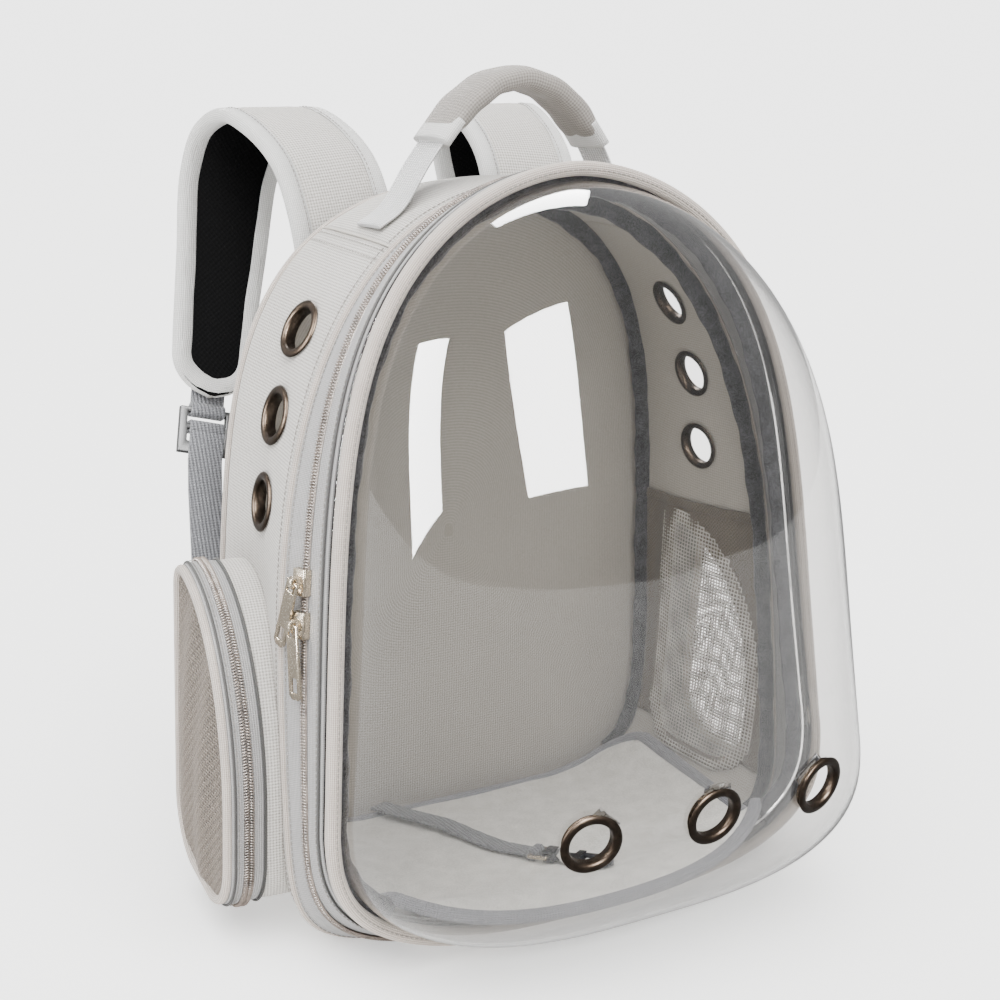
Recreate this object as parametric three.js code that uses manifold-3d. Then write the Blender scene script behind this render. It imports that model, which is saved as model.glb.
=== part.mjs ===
import * as THREE from 'three';
import { mergeVertices } from 'three/addons/utils/BufferGeometryUtils.js';
import Module from 'manifold-3d';

const wasm = await Module();
wasm.setup();

// A soft backpack with a clear domed front. Millimetres, X to the right as seen from the front,
// Y to the back, Z up. The origin is the middle of the flat underside.

// Driving sizes of the body
const BAG_WIDTH = 314;
const BAG_HEIGHT = 381;
const BAG_DEPTH = 166;
const DOOR_WIDTH = 311;
const DOOR_HEIGHT = 394;
const BACK_WIDTH = 290;
const BACK_HEIGHT = 379;
const ZIP_BAND_DEPTH = 42;
const LEAN = 0.06;
const WALL = 3;
const BASE_THICKNESS = 8;
const BACK_THICKNESS = 5;
const BACK_SWELL = 5;
const SEAM_GAP = 0.35;

// Driving sizes of the opening and the clear dome
const DOOR_PIPING = 7.5;
const FOLD_PIPING = 4.2;
const ZIP_TAPE = 1.3;
const COIL_WIDTH = 6;
const COIL_HEIGHT = 2.2;
const BUBBLE_DEPTH = 111;
const BUBBLE_WALL = 1.5;
const BUBBLE_SAG = 8;
const FLANGE_INSET = 9;

// Driving sizes of the air holes
const GROMMET_WIDTH = 31;
const GROMMET_HOLE = 20;
const GROMMET_RIM = 2.2;
const BUBBLE_GROMMET_SPACING = 68;
const BUBBLE_GROMMET_HEIGHT = 92;

// Driving sizes of the side pockets and the mesh windows behind them
const POCKET_WIDTH = 98;
const POCKET_HEIGHT = 166;
const POCKET_DEPTH = 28;
const POCKET_FOOT = 14;
const POCKET_PIPING = 5;
const POCKET_WALL = 2;
const MESH_THICKNESS = 1.2;
const WINDOW_MARGIN = 14;

// Driving sizes of the zip sliders and their pulls
const SLIDER_WIDTH = 9.4;
const SLIDER_LENGTH = 13;
const SLIDER_HEIGHT = 192;
const SLIDER_SPACING = 21;
const PULL_WIDTH = 8.6;
const PULL_LENGTH = 37;
const PULL_THICKNESS = 1.3;
const PULL_LEAN = 24;

// Driving sizes of the handle, the straps and their webbing
const HANDLE_WEBBING_WIDTH = 25;
const HANDLE_WEBBING = 2;
const GRIP_WIDTH = 33;
const GRIP_THICKNESS = 13;
const HANDLE_Y = 10;
const HANDLE_SPAN = 160;
const HANDLE_RISE = 52;
const STRAP_WIDTH = 62;
const STRAP_THICKNESS = 8;
const STRAP_REACH = 93;
const WEBBING_WIDTH = 20;
const WEBBING = 1.8;
const LOCK_WIDTH = 32;
const LOCK_LENGTH = 27;
const LOCK_THICKNESS = 4;

// Driving sizes of the floor mat and the safety leash
const MAT_HALF_WIDTH = 129;
const MAT_THICKNESS = 5.5;
const MAT_OVERHANG = 23;
const MAT_BINDING = 5;
const MAT_CORNER = 26;
const MAT_SHOULDER = 58;
const LEASH_WIDTH = 12;
const LEASH_WEBBING = 1.4;
const LEASH_LIFT = 4.9;
const HOOK_LENGTH = 38;
const HOOK_WIDTH = 17;
const HOOK_THICKNESS = 4;

const up = new THREE.Vector3(0, 0, 1);
const vec = (x, y, z) => new THREE.Vector3(x, y, z);
const lerp = THREE.MathUtils.lerp;
const smooth = THREE.MathUtils.smoothstep;
const rad = THREE.MathUtils.degToRad;

const bag = new THREE.Group();
const meshes = {};

// Colour, roughness and metalness of each material
const materials = {
  cloth: { color: 0xd3cfc9, roughness: 0.9, metalness: 0 },
  lining: { color: 0x8f8a83, roughness: 0.95, metalness: 0 },
  mesh: { color: 0x9a8f84, roughness: 0.9, metalness: 0 },
  tape: { color: 0xc3c6c9, roughness: 0.85, metalness: 0 },
  coil: { color: 0x9c928b, roughness: 0.6, metalness: 0 },
  piping: { color: 0xdcd2ca, roughness: 0.8, metalness: 0 },
  clear: { color: 0xe6ebee, roughness: 0.05, metalness: 0 },
  grommet: { color: 0x5c4a3d, roughness: 0.3, metalness: 0.9 },
  nickel: { color: 0xcfc8ba, roughness: 0.3, metalness: 0.9 },
  webbing: { color: 0xdedddb, roughness: 0.9, metalness: 0 },
  plastic: { color: 0x1d1d1f, roughness: 0.5, metalness: 0 },
  hook: { color: 0x4a4b4e, roughness: 0.5, metalness: 0 },
  mat: { color: 0xcfccc6, roughness: 0.95, metalness: 0 },
  binding: { color: 0xa9a9ad, roughness: 0.95, metalness: 0 },
};

function add(name, geometry, material) {
  const mesh = new THREE.Mesh(geometry, new THREE.MeshStandardMaterial(materials[material]));
  mesh.name = name;
  mesh.material.side = THREE.DoubleSide;
  bag.add(mesh);
  meshes[name] = mesh;
  return mesh;
}

// Closed solids from rows of points

function signedVolume(points, faces) {
  let sum = 0;
  for (let i = 0; i < faces.length; i += 3) {
    const [a, b, c] = [points[faces[i]], points[faces[i + 1]], points[faces[i + 2]]];
    sum += a.dot(b.clone().cross(c));
  }
  return sum;
}

function solidFrom(points, faces) {
  if (signedVolume(points, faces) < 0) {
    for (let i = 0; i < faces.length; i += 3) {
      [faces[i + 1], faces[i + 2]] = [faces[i + 2], faces[i + 1]];
    }
  }
  const geometry = new THREE.BufferGeometry();
  geometry.setAttribute('position', new THREE.Float32BufferAttribute(points.flatMap((p) => p.toArray()), 3));
  geometry.setIndex(faces);
  return geometry;
}

// Rings of equal count joined one to the next; open ends are capped round their middle point
function loft(rings, closed = false) {
  const count = rings[0].length;
  const points = rings.flat().map((p) => p.clone());
  const faces = [];
  const last = closed ? rings.length : rings.length - 1;
  for (let i = 0; i < last; i += 1) {
    const next = (i + 1) % rings.length;
    for (let j = 0; j < count; j += 1) {
      const k = (j + 1) % count;
      const [a, b] = [i * count + j, i * count + k];
      const [c, d] = [next * count + k, next * count + j];
      faces.push(a, b, c, a, c, d);
    }
  }
  if (!closed) {
    for (const [ring, turn] of [[0, 1], [rings.length - 1, -1]]) {
      const middle = rings[ring].reduce((sum, p) => sum.add(p), vec(0, 0, 0)).divideScalar(count);
      points.push(middle);
      for (let j = 0; j < count; j += 1) {
        const [a, b] = [ring * count + j, ring * count + (j + 1) % count];
        if (turn > 0) faces.push(points.length - 1, b, a);
        else faces.push(points.length - 1, a, b);
      }
    }
  }
  return solidFrom(points, faces);
}

// A wall between an outer and an inner grid of points, open or closed along its length
function wall(outer, inner, closed = false) {
  const rings = outer.map((row, i) => [...row, ...inner[i].slice().reverse()]);
  if (closed) return loft(rings, true);
  const across = outer[0].length;
  const count = across * 2;
  const points = rings.flat().map((p) => p.clone());
  const faces = [];
  for (let i = 0; i < rings.length - 1; i += 1) {
    for (let j = 0; j < count; j += 1) {
      const k = (j + 1) % count;
      const [a, b, c, d] = [i * count + j, i * count + k, (i + 1) * count + k, (i + 1) * count + j];
      faces.push(a, b, c, a, c, d);
    }
  }
  for (const [ring, turn] of [[0, 1], [rings.length - 1, -1]]) {
    for (let j = 0; j < across - 1; j += 1) {
      const [a, b] = [ring * count + j, ring * count + j + 1];
      const [c, d] = [ring * count + count - 2 - j, ring * count + count - 1 - j];
      if (turn > 0) faces.push(b, a, d, b, d, c);
      else faces.push(a, b, c, a, c, d);
    }
  }
  return solidFrom(points, faces);
}

// A shell or plate between two stacks of loops, each ending in a middle point, joined at the rim
function capSolid(outer, inner) {
  const count = outer.loops[0].length;
  const points = [];
  const faces = [];
  const lay = (stack, flip) => {
    const start = points.length;
    points.push(...stack.loops.flat().map((p) => p.clone()), stack.middle.clone());
    const push = (a, b, c) => (flip ? faces.push(a, c, b) : faces.push(a, b, c));
    for (let i = 0; i < stack.loops.length - 1; i += 1) {
      for (let j = 0; j < count; j += 1) {
        const k = (j + 1) % count;
        const [a, b] = [start + i * count + j, start + i * count + k];
        const [c, d] = [start + (i + 1) * count + k, start + (i + 1) * count + j];
        push(a, b, c);
        push(a, c, d);
      }
    }
    const end = start + (stack.loops.length - 1) * count;
    for (let j = 0; j < count; j += 1) push(end + j, end + (j + 1) % count, points.length - 1);
    return start;
  };
  const a0 = lay(outer, false);
  const b0 = lay(inner, true);
  for (let j = 0; j < count; j += 1) {
    const k = (j + 1) % count;
    faces.push(a0 + k, a0 + j, b0 + j, a0 + k, b0 + j, b0 + k);
  }
  return solidFrom(points, faces);
}

// Booleans
function toManifold(geometry) {
  const plain = geometry.clone();
  plain.deleteAttribute('normal');
  plain.deleteAttribute('uv');
  const merged = mergeVertices(plain, 1e-4);
  return new wasm.Manifold(new wasm.Mesh({
    numProp: 3,
    vertProperties: new Float32Array(merged.attributes.position.array),
    triVerts: new Uint32Array(merged.index.array),
  }));
}

function toGeometry(manifold) {
  const { vertProperties, triVerts } = manifold.getMesh();
  const geometry = new THREE.BufferGeometry();
  geometry.setAttribute('position', new THREE.Float32BufferAttribute(vertProperties, 3));
  geometry.setIndex(Array.from(triVerts));
  return geometry;
}

function cut(geometry, ...tools) {
  const solid = tools.reduce((body, tool) => body.subtract(toManifold(tool)), toManifold(geometry));
  return toGeometry(solid);
}

function join(...geometries) {
  const [first, ...rest] = geometries.map(toManifold);
  return toGeometry(rest.reduce((body, other) => body.add(other), first));
}

// A frame with its Z axis on the given outward direction and its Y axis as near as can be to upright
function placed(geometry, origin, outward, upright = up) {
  const side = new THREE.Vector3().crossVectors(upright, outward).normalize();
  const rise = new THREE.Vector3().crossVectors(outward, side).normalize();
  const turn = new THREE.Matrix4().makeBasis(side, rise, outward.clone().normalize());
  return geometry.clone().applyMatrix4(turn.setPosition(origin));
}

function mirrored(geometry) {
  const source = geometry.index ? geometry.clone() : toGeometry(toManifold(geometry));
  const flipped = source.applyMatrix4(new THREE.Matrix4().makeScale(-1, 1, 1));
  const index = Array.from(flipped.index.array);
  for (let i = 0; i < index.length; i += 3) [index[i + 1], index[i + 2]] = [index[i + 2], index[i + 1]];
  flipped.setIndex(index);
  return flipped;
}

// The three outlines that give the body its form: the door frame, the gusset's front fold and the
// back seam. Shares of the outline's own half width or height, and the powers of its round corners.
const outlines = {
  door: {
    width: DOOR_WIDTH, height: DOOR_HEIGHT, foot: 0.8,
    widest: 0.195, taper: 0.156, corner: 2.75, crown: 5.2, side: 1.83,
  },
  fold: {
    width: BAG_WIDTH, height: BAG_HEIGHT, foot: -1.5,
    widest: 0.25, taper: 0.037, corner: 5.5, crown: 2.95, side: 2.18,
  },
  back: {
    width: BACK_WIDTH, height: BACK_HEIGHT, foot: -1.5,
    widest: 0.27, taper: 0.073, corner: 3.8, crown: 5.0, side: 2.2,
  },
};

// An outline as a curve from the bottom middle (0) to the crown (1), with -1 to 0 on the left
function outline(form) {
  const steps = 160;
  const half = form.width / 2;
  const widest = form.height * form.widest;
  const dense = [];
  for (let i = 0; i <= steps; i += 1) {
    const a = (i / steps) * (Math.PI / 2);
    const z = widest - (widest - form.foot) * Math.cos(a) ** (2 / form.corner);
    dense.push({ x: half * Math.sin(a) ** (2 / form.corner), z: Math.max(z, 0) });
  }
  for (let i = 1; i <= steps; i += 1) {
    const a = (i / steps) * (Math.PI / 2);
    const rise = Math.sin(a) ** (2 / form.crown);
    const reach = (half - form.taper * half * rise) * Math.max(Math.cos(a), 0) ** (2 / form.side);
    dense.push({ x: i === steps ? 0 : reach, z: widest + (form.height - widest) * rise });
  }
  const travelled = [0];
  for (let i = 1; i < dense.length; i += 1) {
    travelled.push(travelled[i - 1] + Math.hypot(dense[i].x - dense[i - 1].x, dense[i].z - dense[i - 1].z));
  }
  const total = travelled.at(-1);
  const read = (share) => {
    const goal = THREE.MathUtils.clamp(share, 0, 1) * total;
    let i = travelled.findIndex((d) => d >= goal);
    i = Math.max(i, 1);
    const f = (goal - travelled[i - 1]) / (travelled[i] - travelled[i - 1] || 1);
    return { x: lerp(dense[i - 1].x, dense[i].x, f), z: lerp(dense[i - 1].z, dense[i].z, f) };
  };
  const at = (turn) => {
    const t = turn > 1 ? turn - 2 : turn;
    const share = Math.abs(t);
    const sign = t < 0 ? -1 : 1;
    const here = read(share);
    const [back, front] = [read(share - 0.006), read(share + 0.006)];
    const run = vec(front.x - back.x, 0, front.z - back.z);
    if (share < 0.006) run.set(1, 0, 0);
    if (share > 0.994) run.set(-1, 0, 0);
    run.normalize();
    return { x: sign * here.x, z: here.z, nx: sign * run.z, nz: -run.x };
  };
  const shareAtHeight = (z) => {
    let [low, high] = [0.15, 1];
    for (let i = 0; i < 40; i += 1) {
      const middle = (low + high) / 2;
      if (read(middle).z < z) low = middle;
      else high = middle;
    }
    return low;
  };
  const shareAtWidth = (x) => {
    let [low, high] = [0, 0.3];
    for (let i = 0; i < 40; i += 1) {
      const middle = (low + high) / 2;
      if (read(middle).x < x) low = middle;
      else high = middle;
    }
    return low;
  };
  return { at, shareAtHeight, shareAtWidth };
}

const doorLine = outline(outlines.door);
const foldLine = outline(outlines.fold);
const backLine = outline(outlines.back);

const doorY = (z) => -BAG_DEPTH / 2 + LEAN * z;
const foldY = (z) => doorY(z) + ZIP_BAND_DEPTH;
const backY = (z) => BAG_DEPTH / 2 - LEAN * z;

// How far the soft sides cave in between the zip frame and the back
const SIDE_SINK = BAG_DEPTH * 0.055;

// How far the cloth stands off a straight line from fold to back seam, before it caves in
const gussetSwell = [
  { share: 0, swell: 0 },
  { share: 0.14, swell: 2 },
  { share: 0.45, swell: 3.3 },
  { share: 0.83, swell: 1.6 },
  { share: 0.95, swell: -0.4 },
  { share: 1, swell: -3 },
];

function readTable(table, key, value, share) {
  let i = table.findIndex((row) => row[key] >= share);
  if (i < 0) i = table.length - 1;
  i = Math.max(i, 1);
  const [a, b] = [table[i - 1], table[i]];
  const f = THREE.MathUtils.clamp((share - a[key]) / (b[key] - a[key]), 0, 1);
  return lerp(a[value], b[value], f);
}

// A point of the body's skin: t round the outline, share from the fold to the back seam
function skin(t, share, inset = 0, trim = 0) {
  const [a, b] = [foldLine.at(t), backLine.at(t)];
  const normal = vec(lerp(a.nx, b.nx, share), 0, lerp(a.nz, b.nz, share)).normalize();
  const sides = 1 + Math.min(0, normal.z);
  const sink = SIDE_SINK * Math.sin(Math.PI * THREE.MathUtils.clamp(share, 0, 1)) * (1 - Math.abs(normal.z));
  const lift = readTable(gussetSwell, 'share', 'swell', share) * sides - sink - inset;
  const [x, z] = [lerp(a.x, b.x, share), lerp(a.z, b.z, share)];
  const height = Math.max(z + normal.z * lift, 0);
  return vec(x + normal.x * lift, lerp(foldY(height) + trim, backY(height), share), height);
}

function gussetWall(from, to, steps, thickness) {
  const shares = gussetSwell.map((row) => row.share);
  const trim = FOLD_PIPING / 2 + SEAM_GAP;
  const [outer, inner] = [[], []];
  for (let i = 0; i <= steps; i += 1) {
    const t = lerp(from, to, i / steps);
    outer.push(shares.map((share) => skin(t, share, 0, trim)));
    inner.push(shares.map((share) => skin(t, share, thickness, trim)));
  }
  return wall(outer, inner);
}

// Seams between the base, the sides and the top of the gusset
const FOLD_PERIMETER_HALF = BAG_WIDTH / 2 + BAG_HEIGHT;
const BASE_SEAM = foldLine.shareAtWidth(BAG_WIDTH * 0.4);
const TOP_SEAM = foldLine.shareAtHeight(BAG_HEIGHT * 0.925);
const SEAM_SHARE = SEAM_GAP / FOLD_PERIMETER_HALF;

// Grommets: the seat cut in the sheet and the ring that fills it
const GROMMET_BARREL = GROMMET_HOLE / 2 + 1.6;
const CLEARANCE = 0.3;
const GROMMET_SIDES = 10;

function grommetRing(grip) {
  const [hole, rim, barrel] = [GROMMET_HOLE / 2, GROMMET_WIDTH / 2, GROMMET_BARREL];
  const [top, foot] = [grip / 2, -grip / 2];
  const profile = [
    [hole, foot - 1], [barrel + 2.6, foot - 1], [barrel + 2.6, foot], [barrel, foot], [barrel, top],
    [rim, top], [(rim + hole) / 2, top + GROMMET_RIM], [hole, top + GROMMET_RIM * 0.4],
    [hole, foot - 1],
  ].map(([r, h]) => new THREE.Vector2(r, h));
  return new THREE.LatheGeometry(profile, GROMMET_SIDES).rotateX(Math.PI / 2);
}

function grommetSeat(grip) {
  const [rim, barrel] = [GROMMET_WIDTH / 2 + CLEARANCE, GROMMET_BARREL + CLEARANCE];
  const washer = GROMMET_BARREL + 2.6 + CLEARANCE;
  const [top, foot] = [grip / 2 - CLEARANCE, -grip / 2 + CLEARANCE];
  const profile = [
    [0, foot - 8], [washer, foot - 8], [washer, foot], [barrel, foot], [barrel, top], [rim, top],
    [rim, top + 8], [0, top + 8],
  ].map(([r, h]) => new THREE.Vector2(r, h));
  return new THREE.LatheGeometry(profile, GROMMET_SIDES).rotateX(Math.PI / 2);
}

// The nearest point of a mesh along a line, with the direction that its surface faces there
function surfacePoint(mesh, from, direction) {
  mesh.updateMatrixWorld(true);
  const hit = new THREE.Raycaster(from, direction.clone().normalize()).intersectObject(mesh)[0];
  const normal = hit.face.normal.clone();
  if (normal.dot(direction) > 0) normal.negate();
  return { point: hit.point, normal };
}

// Side and top gusset, base and back panel
const SIDE_STEPS = 12;
const RIGHT_SIDE = [BASE_SEAM + SEAM_SHARE, TOP_SEAM - SEAM_SHARE];
const sideWall = gussetWall(...RIGHT_SIDE, SIDE_STEPS, WALL);
const sideProbe = new THREE.Mesh(sideWall, new THREE.MeshStandardMaterial({ side: THREE.DoubleSide }));

// Where the pocket stands: its front foot on the skin, one axis along the side, one up, one out
const pocketFrame = (() => {
  const level = POCKET_FOOT + POCKET_HEIGHT * 0.45;
  const t = foldLine.shareAtHeight(level);
  const [front, rear] = [skin(t, 0.02), skin(t, 0.85)];
  const along = rear.clone().sub(front).normalize();
  const high = skin(foldLine.shareAtHeight(level + POCKET_HEIGHT * 0.3), 0.5);
  const low = skin(foldLine.shareAtHeight(level - POCKET_HEIGHT * 0.3), 0.5);
  const rise = high.sub(low).normalize();
  const out = new THREE.Vector3().crossVectors(along, rise).normalize();
  if (out.x < 0) out.negate();
  rise.crossVectors(out, along).normalize();
  if (rise.z < 0) rise.negate();
  const corner = front.clone().addScaledVector(rise, POCKET_FOOT - front.z);
  return { corner, along, rise, out };
})();

function onPocket(a, b, n) {
  const { corner, along, rise, out } = pocketFrame;
  return corner.clone().addScaledVector(along, a).addScaledVector(rise, b).addScaledVector(out, n);
}

// The pocket's outline: straight behind, swept over at the top of the front, round at the foot
const POCKET_FOOT_ROUND = 34;
const POCKET_SWEEP_HEIGHT = 104;
const POCKET_REAR_ROUND = 14;

function pocketOutline(inset, count = 30) {
  const shape = new THREE.Shape();
  const [left, right] = [inset, POCKET_WIDTH - inset];
  const [foot, top] = [inset, POCKET_HEIGHT - inset];
  const round = POCKET_FOOT_ROUND - inset;
  const rear = POCKET_REAR_ROUND - Math.min(inset, POCKET_REAR_ROUND - 2);
  const shoulder = top - POCKET_SWEEP_HEIGHT;
  shape.moveTo(left + round, foot);
  shape.lineTo(right - round, foot);
  shape.absarc(right - round, foot + round, round, -Math.PI / 2, 0, false);
  shape.lineTo(right, top - rear);
  shape.absarc(right - rear, top - rear, rear, 0, Math.PI / 2, false);
  const sweepWidth = right - rear - left;
  shape.absellipse(right - rear, shoulder, sweepWidth, POCKET_SWEEP_HEIGHT, Math.PI / 2, Math.PI, false);
  shape.lineTo(left, foot + round);
  shape.absarc(left + round, foot + round, round, Math.PI, Math.PI * 1.5, false);
  const points = shape.getSpacedPoints(count);
  points.pop();
  return points;
}

function prism(points, from, to, place) {
  const rings = [from, to].map((n) => points.map((p) => place(p.x, p.y, n)));
  return loft(rings);
}

const windowCutter = (() => {
  const edge = pocketOutline(WINDOW_MARGIN, 24);
  return prism(edge, -POCKET_WIDTH * 0.4, POCKET_WIDTH * 0.4, onPocket);
})();

// Air holes down the side: shares of the fold's height, and shares of the way to the back seam
const sideHoles = [
  { height: 0.8085, share: 0.43 },
  { height: 0.697, share: 0.42 },
  { height: 0.5785, share: 0.45 },
];
const SIDE_GRIP = WALL + 1.4;
const sideSeats = sideHoles.map(({ height, share }) => {
  const target = skin(foldLine.shareAtHeight(height * BAG_HEIGHT), share);
  const start = target.clone().add(vec(GROMMET_WIDTH * 2.6, 0, GROMMET_WIDTH * 0.8));
  const { point, normal } = surfacePoint(sideProbe, start, target.clone().sub(start));
  return { centre: point.addScaledVector(normal, -WALL / 2), normal };
});
const seatCutters = sideSeats.map(({ centre, normal }) => placed(grommetSeat(SIDE_GRIP), centre, normal));
const sideGusset = cut(sideWall, windowCutter, ...seatCutters);

add('base_panel', gussetWall(-BASE_SEAM + SEAM_SHARE, BASE_SEAM - SEAM_SHARE, 8, BASE_THICKNESS), 'lining');
add('gusset_right', sideGusset, 'cloth');
add('gusset_left', mirrored(sideGusset), 'cloth');
add('gusset_top', gussetWall(TOP_SEAM + SEAM_SHARE, 2 - TOP_SEAM - SEAM_SHARE, 12, WALL), 'cloth');

const ringShares = (count) => Array.from({ length: count }, (_, i) => -1 + (2 * i) / count);

// The padded back, flat on the bag's side and swelling a little behind
const BACK_LOOPS = [
  { scale: 1, swell: 0.15 }, { scale: 0.96, swell: 0.5 }, { scale: 0.62, swell: 0.95 },
];
const backCentre = BACK_HEIGHT * 0.47;

function backLoop(scale, behind, count = 28) {
  const seamTrim = 3;
  return ringShares(count).map((t) => {
    const p = backLine.at(t);
    const z = Math.max(p.z - p.nz * seamTrim * Math.max(0, p.nz), 0);
    const x = (p.x - p.nx * seamTrim) * scale;
    const height = backCentre + (z - backCentre) * scale;
    return vec(x, backY(height) + behind, height);
  });
}

const backStart = SEAM_GAP;
const backPoint = (scale, swell) => backLoop(scale, backStart + BACK_THICKNESS * 0.6 + BACK_SWELL * swell);
add('back_panel', capSolid(
  {
    loops: BACK_LOOPS.map(({ scale, swell }) => backPoint(scale, swell)),
    middle: vec(0, backY(backCentre) + backStart + BACK_THICKNESS * 0.6 + BACK_SWELL, backCentre),
  },
  {
    loops: BACK_LOOPS.map(({ scale }) => backLoop(scale, backStart)),
    middle: vec(0, backY(backCentre) + backStart, backCentre),
  },
), 'cloth');

// The zip band round the front: tape from the front fold to the door frame, with its coil on top
const BAND_FRONT = DOOR_PIPING / 2 + BUBBLE_WALL + SEAM_GAP * 4;
const doorInset = 1.6;

function bandPoint(t, share, lift) {
  const [a, b] = [foldLine.at(t), doorLine.at(t)];
  const normal = vec(lerp(a.nx, b.nx, share), 0, lerp(a.nz, b.nz, share)).normalize();
  const x = lerp(a.x, b.x - b.nx * doorInset, share);
  const z = lerp(a.z, b.z - b.nz * doorInset, share);
  const rear = foldY(a.z) - FOLD_PIPING / 2 - SEAM_GAP;
  const y = lerp(rear, doorY(b.z) + BAND_FRONT, share);
  return vec(x + normal.x * lift, y, z + normal.z * lift);
}

function bandWall(from, to, steps, shares, low, high) {
  const [outer, inner] = [[], []];
  for (let i = 0; i <= steps; i += 1) {
    const t = lerp(from, to, i / steps);
    outer.push(shares.map((share) => bandPoint(t, share, high)));
    inner.push(shares.map((share) => bandPoint(t, share, low)));
  }
  return wall(outer, inner);
}

const ZIP_START = BASE_SEAM - 0.04;
const ZIP_RANGE = [ZIP_START + SEAM_SHARE, 2 - ZIP_START - SEAM_SHARE];
const COIL_SHARE = 0.52;
const coilHalf = COIL_WIDTH / 2 / (ZIP_BAND_DEPTH - DOOR_PIPING);
const coilShares = [COIL_SHARE - coilHalf, COIL_SHARE + coilHalf];
const coilFoot = SEAM_GAP * 1.7;
const COIL_TOP = coilFoot + COIL_HEIGHT;
const ZIP_STEPS = 26;
add('zip_band', bandWall(...ZIP_RANGE, ZIP_STEPS, [0, ...coilShares, 1], -ZIP_TAPE, 0), 'tape');
add('zip_coil', bandWall(...ZIP_RANGE, ZIP_STEPS, coilShares, coilFoot, COIL_TOP), 'coil');
const hingeRange = [-ZIP_START + SEAM_SHARE, ZIP_START - SEAM_SHARE];
add('door_hinge_strip', bandWall(...hingeRange, 8, [0, 1], -ZIP_TAPE - 0.8, 0), 'tape');

// Round cords along an outline
function pipingRing(line, yAt, radius, inset, steps, sides) {
  const rings = ringShares(steps).map((t) => {
    const p = line.at(t);
    const centre = vec(p.x - p.nx * inset, yAt(p.z), Math.max(p.z - p.nz * inset, radius));
    return Array.from({ length: sides }, (_, j) => {
      const a = (2 * Math.PI * (j + 0.5)) / sides;
      const [out, back] = [Math.cos(a) * radius, Math.sin(a) * radius];
      return centre.clone().add(vec(p.nx * out, back, p.nz * out));
    });
  });
  return loft(rings, true);
}

const foldRadius = FOLD_PIPING / 2;
const doorRadius = DOOR_PIPING / 2;
add('fold_piping', pipingRing(foldLine, foldY, foldRadius, foldRadius * 0.4, 34, 5), 'piping');
// The dome and the piping round it share their stations, so that the one follows the other
const DOOR_STATIONS = 28;
add('door_piping', pipingRing(doorLine, doorY, doorRadius, doorRadius, DOOR_STATIONS, 6), 'piping');

// The clear dome: a flange behind the door frame's piping, then a wall that rounds over forwards
const bubbleRows = [
  { depth: 0, spread: 1 },
  { depth: 0.2, spread: 0.988 },
  { depth: 0.42, spread: 0.936 },
  { depth: 0.6, spread: 0.852 },
  { depth: 0.76, spread: 0.729 },
  { depth: 0.9, spread: 0.52 },
  { depth: 0.97, spread: 0.29 },
];
const bubbleCentre = DOOR_HEIGHT * 0.447;
const flangeY = doorRadius + SEAM_GAP * 2;

// The dome hangs a little lower the further it stands out
const bubbleSag = (forward) => BUBBLE_SAG * Math.max(forward, 0) / BUBBLE_DEPTH;

function bubblePoint(t, spread, forward, inset) {
  const p = doorLine.at(t);
  const reach = Math.hypot(p.x, p.z - bubbleCentre);
  const scale = (1 - inset / reach) * spread;
  const z = bubbleCentre + (p.z - bubbleCentre) * scale - bubbleSag(forward);
  return vec(p.x * scale, doorY(z) - forward, z);
}

function bubbleStack(inset, depth, flangeForward, firstForward) {
  const shares = ringShares(DOOR_STATIONS);
  const loops = [shares.map((t) => bubblePoint(t, 1, flangeForward, doorInset))];
  for (const row of bubbleRows) {
    const forward = lerp(firstForward, depth, row.depth);
    loops.push(shares.map((t) => bubblePoint(t, row.spread, forward, inset)));
  }
  const middle = bubbleCentre - bubbleSag(depth);
  return { loops, middle: vec(0, doorY(middle) - depth, middle) };
}

const bubbleShell = capSolid(
  bubbleStack(FLANGE_INSET, BUBBLE_DEPTH, -flangeY, -flangeY),
  bubbleStack(FLANGE_INSET + BUBBLE_WALL, BUBBLE_DEPTH - BUBBLE_WALL, -flangeY - BUBBLE_WALL,
    -flangeY - BUBBLE_WALL),
);
const bubbleProbe = new THREE.Mesh(bubbleShell, new THREE.MeshStandardMaterial({ side: THREE.DoubleSide }));
const bubbleGrip = BUBBLE_WALL + 1.6;
const bubbleSeats = [-1, 0, 1].map((place) => {
  const start = vec(place * BUBBLE_GROMMET_SPACING, -BAG_DEPTH - BUBBLE_DEPTH, BUBBLE_GROMMET_HEIGHT);
  const { point, normal } = surfacePoint(bubbleProbe, start, vec(0, 1, 0));
  return { centre: point.addScaledVector(normal, -BUBBLE_WALL / 2), normal };
});
const bubbleSeat = grommetSeat(bubbleGrip);
const bubbleCutters = bubbleSeats.map(({ centre, normal }) => placed(bubbleSeat, centre, normal));
add('bubble', cut(bubbleShell, ...bubbleCutters), 'clear');

bubbleSeats.forEach(({ centre, normal }, i) => {
  add(`bubble_grommet_${i + 1}`, placed(grommetRing(bubbleGrip), centre, normal), 'grommet');
});
sideSeats.forEach(({ centre, normal }, i) => {
  const ring = placed(grommetRing(SIDE_GRIP), centre, normal);
  add(`grommet_right_${i + 1}`, ring, 'grommet');
  add(`grommet_left_${i + 1}`, mirrored(ring), 'grommet');
});

// Side pockets, built on the right and mirrored: band, mesh face, piping, and the mesh window behind
const bagEnvelope = (() => {
  const loops = [-0.25, ...gussetSwell.map((row) => row.share)].map((share) => {
    const [depth, trim] = [Math.max(share, 0), Math.min(share, 0) * ZIP_BAND_DEPTH];
    return ringShares(60).map((t) => skin(t, depth, -SEAM_GAP * 2.6, trim));
  });
  return loft(loops);
})();

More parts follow.
